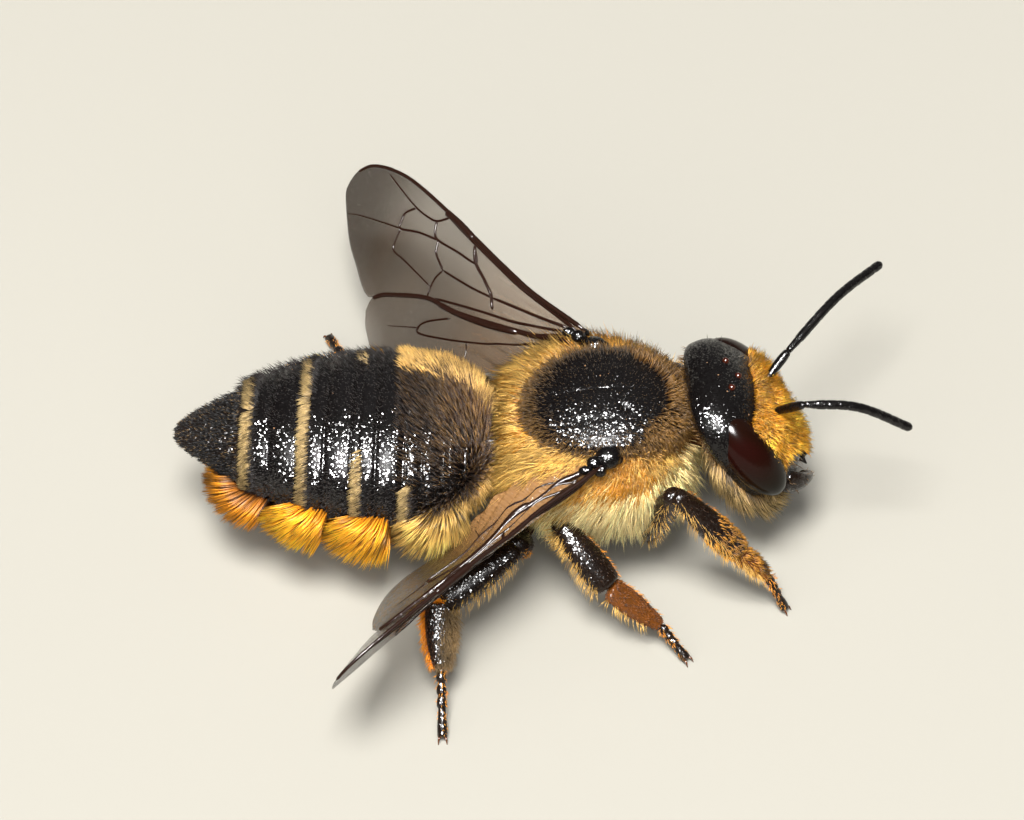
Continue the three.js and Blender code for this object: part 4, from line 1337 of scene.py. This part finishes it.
@dataclass
class Feelers:
    """The two antennae: a long first joint, a small one and a whip of ten rings."""

    radius: float = 0.098
    rings: int = 10
    routes: dict[str, tuple[Point, ...]] = field(default_factory=lambda: {
        "left": ((5.0, 0.4, 3.47), (5.55, 0.95, 3.75), (6.68, 2.18, 3.85), (7.76, 3.3, 3.52)),
        "right": ((5.0, -0.4, 3.45), (5.64, -0.98, 4.36), (6.75, -0.92, 4.07), (7.88, -0.86, 3.2)),
    })

    def whip(self, side: str) -> Skin:
        """The ringed whip, a little pinched at each joint."""
        per_ring = 7
        path = curve_through(self.routes[side][1:], self.rings * per_ring + 1)
        t = np.arange(len(path)) / per_ring
        within = t % 1.0
        fat = self.radius * (0.9 + 0.1 * smooth_step(0.0, 0.16, within) - 0.02 * within)
        fat = fat * (0.72 + 0.28 * smooth_step(0.0, 1.6, t)) * np.sqrt(np.clip((self.rings + 0.05 - t) / 0.35, 0.04, 1))
        return tube(path, fat, fat, columns=20)

    def stalk(self, side: str) -> Skin:
        """The long first joint, thickest past its middle, with a ball at its root."""
        socket, elbow = (np.array(p) for p in self.routes[side][:2])
        path = curve_through([socket, elbow], 26)
        t = np.linspace(0, 1, 26)
        fat = 0.08 + 0.02 * hump(t, 0.65, 0.3) + 0.03 * hump(t, 0.04, 0.05) - 0.02 * hump(t, 0.14, 0.05)
        fat = fat * np.sqrt(np.clip(1 - (2 * t - 1) ** 12, 0.03, 1))
        return tube(path, fat, fat, columns=20)

    def build(self, chitin: Material) -> None:
        """Both antennae."""
        for side in SIDES:
            make_piece(f"feeler_stalk_{side}", [self.stalk(side)], chitin, [f"scape_{side}"])
            make_piece(f"feeler_whip_{side}", [self.whip(side)], chitin, [f"flagellum_{side}"])


# -------- wings


@dataclass
class Wing:
    """One side's fore and hind wing, hooked together, with raised veins.

    A wing is drawn flat first: u runs from the hinge to the tip, and w from the fore edge to the hind edge.
    """

    side: str
    tip: Point
    lead_pitch: float
    fore_pitch: float
    hind_pitch: float
    twist: float = 0.0
    root_stain: float = 0.0
    hinge: Point = (1.3, 1.75, 3.8)
    film: float = 0.012
    costa: tuple[Pair, ...] = (
        (-0.15, -0.14), (1.68, -0.29), (3.72, -0.68), (5.34, -0.95), (6.14, -0.96), (6.72, -0.81), (7.0, -0.55),
        (7.1, -0.17),
    )
    trail: tuple[Pair, ...] = (
        (-0.15, 0.06), (0.3, 0.21), (1.11, 0.57), (2.94, 0.95), (3.82, 1.01), (4.81, 1.36), (5.3, 1.64),
        (5.99, 1.16), (6.42, 0.8), (6.97, 0.12), (7.1, -0.15),
    )
    hind_lead: tuple[Pair, ...] = (
        (0.05, 0.2), (1.11, 0.53), (2.94, 0.91), (3.82, 0.97), (4.75, 1.32), (5.0, 1.45), (5.15, 1.58), (5.2, 1.78),
    )
    hind_trail: tuple[Pair, ...] = (
        (0.05, 0.5), (1.0, 1.3), (2.2, 2.05), (3.4, 2.66), (4.29, 2.72), (4.94, 2.28), (5.2, 1.9),
    )

    def axes(self) -> tuple[Array, Array, tuple[Array, Array, Array]]:
        """The hinge, the way along the wing, and the ways across its front panel, its middle and the hind wing."""
        sign = SIDES[self.side]
        hinge = np.array([self.hinge[0], self.hinge[1] * sign, self.hinge[2]])
        along = unit(np.array(self.tip) - hinge)
        level = unit(np.cross(along, UP) * -sign)
        down = unit(np.cross(level, along) * sign)
        pitches = (self.lead_pitch, self.fore_pitch, self.hind_pitch)
        lead, fore, hind = (level * math.cos(p) + down * math.sin(p) for p in pitches)
        return hinge, along, (lead, fore, hind)

    def untwist(self, u: Array, across: Array, along: Array) -> Array:
        """The way across the wing at each u: it is turned up towards level near the root."""
        angle = (-self.twist * smooth_step(3.0, 0.6, u) * SIDES[self.side])[..., None]
        return across * np.cos(angle) + np.cross(across, along) * np.sin(angle)

    def on_wing(self, u: Array, w: Array) -> Array:
        """Places on the wing's middle surface: it folds along the hooks and is a little arched."""
        hinge, along, (lead, fore, hind) = self.axes()
        hooks = edge_at(self.trail, np.clip(u, 0, 5.2))
        ahead = np.minimum(w, 0)[..., None]
        near = np.clip(w, 0, hooks)[..., None]
        far = np.maximum(w - hooks, 0)[..., None]
        face = unit(np.cross(along, fore)) * SIDES[self.side]
        arch = 0.1 * hump(u, 3.2, 2.6) * (1 - ((w - 0.3) / 1.6) ** 2).clip(0, 1)
        # Pleats run out from the root, like those of a fan.
        arch = arch + 0.04 * np.sin(w * 2 * math.pi / 0.32) * smooth_step(3.2, 1.4, u) * smooth_step(0.2, 0.6, u)
        fore, hind = self.untwist(u, fore, along), self.untwist(u, hind, along)
        return hinge + along * u[..., None] + lead * ahead + fore * near + hind * far + face * arch[..., None]

    def sheet(self, lead: Sequence, trail: Sequence, stretch: Pair) -> Skin:
        """A thin closed film between a leading and a trailing edge."""
        rows, half = 64, 44
        turn = np.linspace(0.0, math.pi, rows)
        u = stretch[0] + (1 - np.cos(turn)) / 2 * (stretch[1] - stretch[0])
        v = np.linspace(0, 1, half)
        low, high = edge_at(lead, u)[:, None], edge_at(trail, u)[:, None]
        w = low + (high - low) * v[None]
        middle = self.on_wing(np.repeat(u[:, None], half, axis=1), w)
        _, along, (_, fore, _) = self.axes()
        face = unit(np.cross(along, fore)) * self.film / 2
        return Skin(np.concatenate([middle + face, (middle - face)[:, ::-1]], axis=1))

    def vein(self, thick: float, end: float, *places: Pair) -> Skin:
        """One vein: a raised tube along flat places, thinning to a share of its thickness."""
        flat = curve_through(places, 6 * len(places))
        path = self.on_wing(flat[:, 0], flat[:, 1])
        fat = np.linspace(thick, thick * end, len(path))
        fat[[0, -1]] *= 0.4
        return tube(path, fat, fat, unit(np.cross(path[-1] - path[0], SIDEWAYS)), 8)

    def fore_veins(self) -> list[Skin]:
        """The fore wing's veins: the fore edge and the root stem, the closed cells and the fading ends."""
        edge = [(u, w + 0.02) for u, w in self.costa[:-1]]
        hem = [(u, w - 0.02) for u, w in self.trail[1:6]]
        return [self.vein(*row) for row in (
            (0.055, 0.55, *edge),
            (0.045, 1.0, (0.0, -0.02), (1.68, -0.2), (3.3, -0.5), (4.3, -0.72)),
            (0.085, 0.9, (3.4, -0.56), (3.9, -0.68), (4.4, -0.76)),
            # The marginal cell under the fore edge, and the two cells below it.
            (0.028, 0.6, (4.24, -0.69), (4.5, -0.49), (4.8, -0.47), (5.15, -0.51), (5.63, -0.64), (6.22, -0.83)),
            (0.028, 1.0, (4.5, -0.49), (4.4, -0.26), (4.23, -0.16), (3.63, -0.16), (3.08, -0.16), (3.32, -0.46)),
            (0.026, 1.0, (5.15, -0.51), (5.35, -0.3), (5.35, -0.12), (5.28, 0.04), (4.79, -0.09), (4.23, -0.16)),
            # The basal vein, and the two stems from the root that it joins.
            (0.036, 1.0, (3.32, -0.46), (3.08, -0.16), (2.64, 0.07), (2.32, 0.29), (2.16, 0.49)),
            (0.032, 1.2, (2.32, 0.29), (1.11, 0.14), (0.27, 0.02)),
            (0.03, 1.1, (3.63, 0.92), (2.49, 0.67), (1.48, 0.47), (0.3, 0.12)),
            # The cross veins round the cell in the middle of the wing.
            (0.026, 1.0, (4.23, -0.16), (4.17, 0.0), (4.11, 0.11), (3.76, 0.33)),
            (0.028, 1.0, (3.76, 0.33), (2.95, 0.33), (2.32, 0.29)),
            (0.024, 0.8, (5.28, 0.04), (5.26, 0.3), (5.19, 0.51), (4.79, 0.58), (3.87, 0.76)),
            (0.024, 0.8, (3.76, 0.33), (3.86, 0.6), (3.84, 0.98)),
            (0.022, 0.3, (5.28, 0.04), (5.75, 0.12), (6.46, 0.26), (6.75, 0.36)),
            (0.03, 0.8, *hem),
        )]

    def hind_veins(self) -> list[Skin]:
        """The hind wing's veins."""
        edge = [(u, w + 0.03) for u, w in self.hind_lead[:-1]]
        return [self.vein(*row) for row in (
            (0.065, 0.7, *edge),
            (0.024, 1.0, (3.04, 1.11), (3.56, 1.42), (3.73, 1.64), (3.55, 1.72), (2.4, 1.36), (1.47, 0.97),
             (0.3, 0.42)),
            (0.08, 0.8, (1.3, 0.62), (2.1, 0.82), (2.94, 0.95), (3.5, 0.98)),
            (0.02, 0.6, (2.4, 1.36), (2.28, 1.7)),
            (0.018, 0.4, (3.73, 1.64), (4.5, 1.95)),
        )]

    def build(self, film: Material, vein: Material) -> None:
        """Both wings of the side, each a film and its veins."""
        hinge, along, _ = self.axes()

        def smoke(points: Array) -> Array:
            """Warm at the root, smoky over most of the wing and darkest and densest at the tip."""
            out = (points - hinge) @ along
            warm = smooth_step(3.6, 1.4, out)[:, None] * (0.3 + 1.5 * self.root_stain)
            dark = smooth_step(4.6, 6.6, out)[:, None]
            base = Tint.SMOKE.linear * (1 - dark) + Tint.SMOKE_TIP.linear * dark
            cloud = 1 + 0.12 * mottle(points, 0.8, 9)[:, None]
            stain = (base * (1 - warm) + Tint.WARM_FILM.linear * warm) * cloud
            return np.clip(np.hstack([stain, 0.4 + 0.26 * dark + self.root_stain * warm]), 0, 1)

        fore = self.sheet(self.costa, self.trail, (-0.15, 7.08))
        hind = self.sheet(self.hind_lead, self.hind_trail, (0.05, 5.19))
        for wing, sheet in (("forewing", fore), ("hindwing", hind)):
            make_piece(f"{wing}_film_{self.side}", [sheet], film, [f"{wing}_{self.side}"], smoke)
        for wing, veins in (("forewing", self.fore_veins()), ("hindwing", self.hind_veins())):
            make_piece(f"{wing}_veins_{self.side}", veins, vein)

    def build_shoulder(self, chitin: Material) -> None:
        """The pitted cap over the wing root and the small knuckles behind it."""
        sign = SIDES[self.side]
        sunk = 0.12 if self.side == "left" else 0.0
        cap = ball((1.6, 1.52 * sign, 3.74 - sunk), (0.27, 0.24, 0.2), -0.5 * sign, 26)
        knuckles = [ball((x, y * sign, z), half, 0.0, fine) for x, y, z, half, fine in (
            (1.3, 1.66, 3.8, (0.15, 0.14, 0.12), 14), (1.12, 1.82, 3.76, (0.15, 0.1, 0.1), 12),
            (1.42, 1.8, 3.68, (0.13, 0.12, 0.14), 12), (1.82, 1.5, 3.64, (0.1, 0.1, 0.09), 12),
        )]
        make_piece(f"wing_cap_{self.side}", [cap, *knuckles], chitin, [f"tegula_{self.side}"])


def edge_at(edge: Sequence[Pair], u: Array) -> Array:
    """The w of a wing edge at each u, along a smooth curve through its points."""
    fine = curve_through(edge, 12 * len(edge))
    return np.interp(u, fine[:, 0], fine[:, 1])


# -------- legs


class LegPair(Enum):
    """The three pairs of legs."""

    FRONT = "front"
    MIDDLE = "middle"
    HIND = "hind"


@dataclass
class Leg:
    """One leg from its second ring to its claws, standing on the floor."""

    pair: LegPair
    side: str
    ring: Point
    thigh: Pair
    shin: Pair
    paddle: float
    knee: Point
    ankle: Point
    heel: Point
    toe: Point
    toe_radius: float = 0.115

    @property
    def name(self) -> str:
        """The pair and side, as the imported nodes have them."""
        return f"{self.pair.value}_{self.side}"

    def segment(self, start: Array, end: Array, half: Pair, widest: float, ends: Pair = (0.6, 0.6)) -> Skin:
        """A straight joint that swells to its widest at a share of its length.

        Args:
            start: Its near end.
            end: Its far end.
            half: Half its width and half its thickness where it is widest.
            widest: Where that is, as a share of its length.
            ends: How wide it is at its near and far ends, as shares of that.

        Returns:
            The joint's surface.
        """
        t = np.linspace(0, 1, 34)
        near = np.where(t < widest, t / widest, (1 - t) / (1 - widest))
        floor = np.where(t < widest, *ends)
        belly = floor + (1 - floor) * np.sin(math.pi / 2 * near)
        edge = np.minimum(t, 1 - t) / 0.05
        cap = np.sqrt(np.clip(1 - (1 - edge) ** 2 * (edge < 1), 0.02, 1))
        path = start + t[:, None] * (end - start)
        return tube(path, half[0] * belly * cap, half[1] * belly * cap, columns=28)

    def joints(self) -> tuple[Skin, Skin, Skin, Skin]:
        """The femur, the tibia, the long flat first joint of the foot and its four small ones."""
        ring, knee, ankle, heel = (np.array(place) for place in (self.ring, self.knee, self.ankle, self.heel))
        return (
            self.segment(ring, knee, self.thigh, 0.45), self.segment(knee, ankle, self.shin, 0.72, (0.55, 0.88)),
            self.segment(ankle, heel, (self.paddle, 0.15), 0.3, (0.94, 0.5)), self.toes(),
        )

    def toes(self) -> Skin:
        """The four small joints of the foot, the last one longest."""
        t = np.linspace(0, 1, 60)
        path = np.array(self.heel) + t[:, None] * (np.array(self.toe) - np.array(self.heel))
        path[:, 2] = np.maximum(path[:, 2], self.toe_radius * 0.92)
        joints = np.array([0.0, 0.2, 0.38, 0.56, 1.0])
        index = np.clip(np.searchsorted(joints, t, side="right") - 1, 0, 3)
        within = (t - joints[index]) / (joints[index + 1] - joints[index])
        fat = self.toe_radius * (0.66 + 0.24 * smooth_step(0.0, 0.7, within) - 0.1 * smooth_step(0.9, 1.0, within))
        fat[0] *= 0.5
        fat[-1] *= 0.5
        return tube(path, fat, fat * 0.9, columns=16)

    def claws(self) -> list[Skin]:
        """Two curved claws whose points touch the floor."""
        toe = np.array(self.toe)
        along = toe - np.array(self.heel)
        along[2] = 0
        along = unit(along)
        across = np.array([-along[1], along[0], 0.0])
        made = []
        for turn in (-1, 1):
            root = toe + along * -0.06 + across * 0.04 * turn
            root[2] = 0.1
            bend = root + along * 0.1 + across * 0.035 * turn + UP * 0.02
            point = root + along * 0.16 + across * 0.05 * turn
            point[2] = 0.008
            path = curve_through([root, bend, point], 12)
            fat = np.linspace(0.036, 0.008, 12)
            made.append(tube(path, fat, fat, columns=10))
        return made

    def build(self, shell: Material, foot: Material, claw: Material) -> None:
        """The leg's shell pieces."""
        thigh, shin, paddle, toes = ([skin] for skin in self.joints())
        flat = shell if self.pair is LegPair.HIND else foot
        for name, skins, finish, slot, nodes in (
            ("thigh", thigh, shell, "leg_brown", ["femur"]), ("shin", shin, shell, "leg_brown", ["tibia"]),
            ("foot", paddle, flat, "foot_rust", ["tarsus"]), ("toes", toes, shell, "foot_rust", []),
            ("claws", self.claws(), claw, "foot_rust", []),
        ):
            make_piece(f"{name}_{self.name}", skins, finish, [f"{node}_{self.name}" for node in nodes])

    def grow_coat(self, coat: Coat, seed: int) -> None:
        """Short hair all over, golden fringes along the edges and felt on the foot."""
        thigh, shin, paddle, toes = self.joints()
        posterior = unit(np.cross(np.array(self.ankle) - np.array(self.knee), UP)) * -SIDES[self.side]
        golden = HairStyle(0.26, Tint.BUFF, Tint.GOLDEN, width=0.006, lift=0.7, bend=0.35, frizz=0.04, clump=0.0)
        bright = HairStyle(0.15, Tint.ORANGE, Tint.GOLD, width=0.008, lift=0.5, bend=0.4, clump=0.25, streaks=0.4)
        dark = HairStyle(0.09, Tint.BLACK, Tint.BROWN, width=0.008, lift=0.35, bend=0.3, clump=0.1)
        felt = HairStyle(0.09, Tint.BROWN, Tint.ORANGE, width=0.010, lift=0.3, bend=0.4, clump=0.1, streaks=0.4,
                         dark_strands=0.3)
        spots = HairStyle(0.14, Tint.RUST, Tint.GOLD, width=0.011, lift=0.4, bend=0.3, clump=0.4, streaks=0.6)
        brush = HairStyle(0.24, Tint.ORANGE, Tint.ORANGE_GOLD, width=0.012, lift=0.5, bend=0.3, clump=0.2)
        grey = replace(brush, root=Tint.BROWN, tip=Tint.BAND_ROOT, width=0.008, lift=0.45, clump=0.1)

        def cover(skin: Skin, count: int, step: int, style: HairStyle, where: Density | None = None,
                  length: float = 1.0, shade: float = 1.0, droop: float = 0.0) -> None:
            """Grows hair towards the foot on one joint, from the leg's seed and a step of its own."""
            roots = skin.scatter(count, seed + step, where)
            coat.add(roots, roots.back - droop * UP, style, seed + step, length, shade)

        for step, (skin, count) in enumerate(((thigh, 130), (shin, 190), (paddle, 200)), 1):
            cover(skin, count, step, golden, lambda r: smooth_step(0.8, 0.97, r.normal @ posterior), droop=0.3)
            long = self.pair is LegPair.HIND and skin is shin
            cover(skin, count, step + 3, golden if long else bright,
                  lambda r: smooth_step(0.8, 0.97, -r.normal @ posterior))
        cover(shin, 420, 7, dark)
        cover(thigh, 380, 8, dark)
        nap = 2_200 if self.pair is LegPair.MIDDLE else 1_000
        cover(paddle, nap, 9, felt, shade=0.2 if self.pair is LegPair.HIND else 0.5)
        small = toes.scatter(150, seed + 10, lambda r: smooth_step(0.2, 0.8, np.abs(r.normal @ posterior)))
        coat.add(small, small.back, bright, seed + 10, 0.95 - 0.65 * small.unwrap[:, 1])
        if self.pair is LegPair.FRONT:
            cover(shin, 800, 11, spots, lambda r: smooth_step(0.45, 0.8, r.unwrap[:, 1]))
            cover(paddle, 500, 12, spots, length=1.3)
        if self.pair is LegPair.HIND:
            cover(paddle, 1_300, 13, brush, lambda r: smooth_step(0.25, 0.6, r.normal @ posterior))
            cover(paddle, 900, 14, grey, lambda r: smooth_step(0.3, 0.8, -r.normal @ posterior))


def standing_legs() -> list[Leg]:
    """The six legs in the pose. The left ones have joints of their own from the knee down."""
    # The ring on the right, half the width and thickness of the thigh and the shin, and half the paddle's width.
    builds = {
        LegPair.FRONT: ((2.5, -1.42, 0.98), (0.33, 0.29), (0.33, 0.28), 0.22),
        LegPair.MIDDLE: ((1.0, -1.5, 0.85), (0.33, 0.29), (0.35, 0.28), 0.3),
        LegPair.HIND: ((-0.25, -1.35, 1.05), (0.34, 0.3), (0.38, 0.3), 0.32),
    }
    # Knee, ankle, heel and toe.
    right = {
        LegPair.FRONT: ((2.9, -2.12, 3.2), (4.2, -2.5, 1.64), (4.8, -2.66, 0.95), (5.16, -2.88, 0.1)),
        LegPair.MIDDLE: ((0.6, -2.1, 2.42), (1.5, -3.05, 1.45), (2.53, -3.48, 0.62), (3.02, -4.0, 0.1)),
        LegPair.HIND: ((-0.28, -2.34, 2.05), (-1.94, -3.16, 1.5), (-2.03, -4.4, 0.95), (-2.1, -5.54, 0.1)),
    }
    left = {
        LegPair.FRONT: ((2.95, 1.95, 2.3), (4.0, 2.2, 1.15), (4.55, 2.35, 0.65), (5.0, 2.6, 0.1)),
        LegPair.MIDDLE: ((0.55, 2.05, 2.0), (1.25, 2.95, 1.15), (2.1, 3.4, 0.55), (2.6, 3.9, 0.1)),
        LegPair.HIND: ((-0.4, 2.25, 1.7), (-2.85, 2.85, 0.85), (-3.3, 4.0, 0.52), (-3.66, 5.15, 0.1)),
    }
    legs = []
    for pair, ((x, y, z), *build) in builds.items():
        legs.append(Leg(pair, "right", (x, y, z), *build, *right[pair]))
        legs.append(Leg(pair, "left", (x, -y, z), *build, *left[pair]))
    return legs


# -------- pollen


@dataclass
class Pollen:
    """Loose pollen grains caught on the bare shell."""

    count: int = 34
    radius: float = 0.0135

    def build(self, skins: Sequence[Skin], powder: Material) -> None:
        """Scatters the grains over the tops of the given surfaces as one piece."""
        grains = []
        rng = np.random.default_rng(5)
        for i, skin in enumerate(skins):
            roots = skin.scatter(self.count // len(skins), 200 + i, lambda r: smooth_step(0.4, 0.8, r.normal[:, 2]))
            for place, normal in zip(roots.place, roots.normal):
                size = self.radius * rng.uniform(0.6, 1.3)
                grains.append(ball(place + normal * size * 0.5, (size, size, size * 0.8), 0.0, 6))
        make_piece("pollen_grains", grains, powder, (), lambda p: np.tile(Tint.POLLEN.linear, (len(p), 1)))


# -------- studio


class LightUse(Enum):
    """What a studio light does: full light, soft light without glints, or glints alone."""

    FULL = "full"
    SOFT = "soft"
    SHINE = "shine"


@dataclass
class Studio:
    """A pale floor, soft lights and the camera.

    Targets are in millimetres in the bee's frame, other lengths in metres, the lens and its sensor in
    millimetres and angles in degrees.
    """

    azimuth: float = -5.0
    elevation: float = 51.0
    distance: float = 0.13
    target: Point = (-0.13, 0.89, 2.5)
    lens: float = 222.5
    sensor: float = 36.0
    light_target: Point = (0.0, 0.0, 2.5)
    light_distance: float = 0.3
    air_strength: float = 0.06
    floor_reach: float = 0.6

    def aim(self, name: str, data: bpy.types.ID, place: Point, azimuth: float, elevation: float,
            distance: float) -> Object:
        """Adds a camera or a light that faces a place from an azimuth, an elevation and a distance."""
        a, e = math.radians(azimuth), math.radians(elevation)
        back = Vector((math.sin(a) * math.cos(e), -math.cos(a) * math.cos(e), math.sin(e)))
        made = bpy.data.objects.new(name, data)
        made.location = Vector(in_frame(np.array(place))) + back * distance
        made.rotation_mode = "QUATERNION"
        made.rotation_quaternion = (-back).to_track_quat("-Z", "Y")
        bpy.context.scene.collection.objects.link(made)
        return made

    def build_camera(self) -> None:
        """A long lens above the bee's right side."""
        data = bpy.data.cameras.new("camera")
        data.lens = self.lens
        data.sensor_width = self.sensor
        data.clip_start = 0.01
        data.clip_end = 5.0
        camera = self.aim("camera", data, self.target, self.azimuth, self.elevation, self.distance)
        bpy.context.scene.camera = camera

    def light(self, name: str, azimuth: float, elevation: float, size: float, power: float, warmth: str,
              use: LightUse = LightUse.FULL) -> None:
        """One square soft light, facing the bee."""
        data = bpy.data.lights.new(name, "AREA")
        data.size = size
        data.energy = power
        data.color = srgb(warmth)
        lamp = self.aim(name, data, self.light_target, azimuth, elevation, self.light_distance)
        lamp.visible_glossy = use is not LightUse.SOFT
        lamp.visible_diffuse = use is not LightUse.SHINE

    def build_floor(self) -> None:
        """A flat board that the bee stands on."""
        mesh = bpy.data.meshes.new("floor")
        corners = [(x * self.floor_reach, y * self.floor_reach, 0) for x, y in ((-1, -1), (1, -1), (1, 1), (-1, 1))]
        mesh.from_pydata(corners, [], [(0, 1, 2, 3)])
        mesh.materials.append(StudioFloor().material())
        floor = bpy.data.objects.new("floor", mesh)
        bpy.context.scene.collection.objects.link(floor)

    def build(self) -> None:
        """Everything that isn't the bee."""
        self.build_camera()
        self.light("key_light", -20, 72, 0.1, 2.0, "#FFF9F0")
        self.light("flash", -14, 69, 0.13, 8.4, "#FFFFFF", LightUse.SHINE)
        self.light("side_fill", -25, 28, 0.6, 2.2, "#FFF8EE", LightUse.SOFT)
        self.light("rear_fill", 150, 30, 0.5, 0.12, "#FFFFFF")
        world = bpy.data.worlds.new("studio_air")
        world.use_nodes = True
        air = world.node_tree.nodes["Background"].inputs
        air["Color"].default_value = (*srgb("#EEF1F5"), 1)
        air["Strength"].default_value = self.air_strength
        bpy.context.scene.world = world
        bpy.context.scene.view_settings.view_transform = "Standard"
        self.build_floor()


# -------- assembly


def build_shells(thorax: Thorax, abdomen: Abdomen, head: Head, wings: Sequence[Wing], legs: Sequence[Leg]) -> None:
    """Every hard piece: skin, plates, eyes, jaws, feelers, wings and legs."""
    fine_black = Chitin("plate_chitin", Tint.BLACK, Tint.BLACK, pit_spacing_mm=0.06, pit_depth_mm=0.0015, sparkle=0.6,
                        wax=0.95)
    black, body, plates, matt, shield, feeler, leg_shell, foot, claw, vein, amber = (finish.material() for finish in (
        Chitin("black_chitin", Tint.BLACK, Tint.BLACK, pit_depth_mm=0.004, pit_share=0.4, sparkle=0.6, wax=0.58),
        Chitin("body_chitin", Tint.DARK_BROWN, Tint.BROWN, roughness=0.5, wax=0.1),
        fine_black,
        Chitin("tail_chitin", Tint.BLACK, Tint.DARK_BROWN, roughness=0.5, sparkle=0.9, wax=0.4),
        replace(fine_black, name="shield_chitin", pit_depth_mm=0.004, pit_share=0.45, wax=0.5, wax_roughness=0.15),
        Chitin("feeler_chitin", Tint.BLACK, Tint.BLACK, roughness=0.34, pit_spacing_mm=0.035, sparkle=0.3, wax=0.6),
        Chitin("leg_chitin", Tint.BLACK, Tint.DARK_BROWN, pit_spacing_mm=0.06, sparkle=0.5, wax=0.6),
        Chitin("foot_chitin", Tint.BROWN, Tint.RUST, roughness=0.38, sparkle=0.3, wax=0.4),
        Chitin("claw_chitin", Tint.RUST, Tint.DARK_BROWN, pit_depth_mm=0.001),
        Chitin("vein_chitin", Tint.VEIN, Tint.VEIN, roughness=0.4, pit_depth_mm=0.001, sparkle=0.2, wax=0.3),
        Chitin("ocellus_chitin", Tint.OCELLUS, Tint.DARK_BROWN, roughness=0.1, pit_depth_mm=0.0005),
    ))
    thorax.build_skin(body)
    thorax.build_shield(shield)
    abdomen.build_plates(plates, matt)
    head.build_capsule(black)
    head.build_eyes(CompoundEye().material(), amber)
    head.build_jaws(leg_shell)
    Feelers().build(feeler)
    film = WingMembrane("smoky_wing_film").material()
    for wing in wings:
        wing.build(film, vein)
        wing.build_shoulder(black)
    for leg in legs:
        leg.build(leg_shell, foot, claw)


def build_coats(thorax: Thorax, abdomen: Abdomen, head: Head, legs: Sequence[Leg]) -> None:
    """Every region of hair."""
    hair = HairCoat("bee_hair").material()
    trunk = Coat("thorax_coat", "coat_buff")
    thorax.grow_coat(trunk)
    trunk.build(hair)
    belly, bands = Coat("abdomen_coat", "coat_dark"), Coat("abdomen_bands", "coat_buff")
    brush = Coat("pollen_brush", "coat_brush")
    abdomen.grow_coat(belly, bands)
    abdomen.grow_brush(brush)
    belly.build(hair)
    bands.build(hair)
    brush.build(hair, [f"scopa_{i + 1}" for i in range(len(abdomen.brush_centres))])
    face, head_coat = Coat("face_coat", "coat_face"), Coat("head_coat", "coat_buff")
    head.grow_coat(face, head_coat)
    face.build(hair, ["face"])
    head_coat.build(hair)
    leg_coat = Coat("leg_coat", "leg_brown")
    for i, leg in enumerate(legs):
        leg.grow_coat(leg_coat, 300 + 20 * i)
    leg_coat.build(hair)


def main() -> None:
    """Builds the bee and its studio."""
    logging.basicConfig(level=logging.INFO, format="%(name)s: %(message)s")
    thorax, abdomen, head = Thorax(), Abdomen(), Head()
    wings = [
        Wing("right", (-4.3, -5.92, 2.5), *map(math.radians, (72, 50, 40)), 0.42, 0.45, (1.34, 1.82, 3.66)),
        Wing("left", (-3.03, 7.0, 2.5), *map(math.radians, (42, 42, 42))),
    ]
    legs = standing_legs()
    Studio().build()
    build_shells(thorax, abdomen, head, wings, legs)
    build_coats(thorax, abdomen, head, legs)
    dust = HairCoat("pollen_powder", roughness=0.8, shine=0.2).material()
    Pollen().build([thorax.shield(), head.capsule(), abdomen.plate(4), abdomen.plate(5)], dust)


if __name__ == "__main__":
    main()
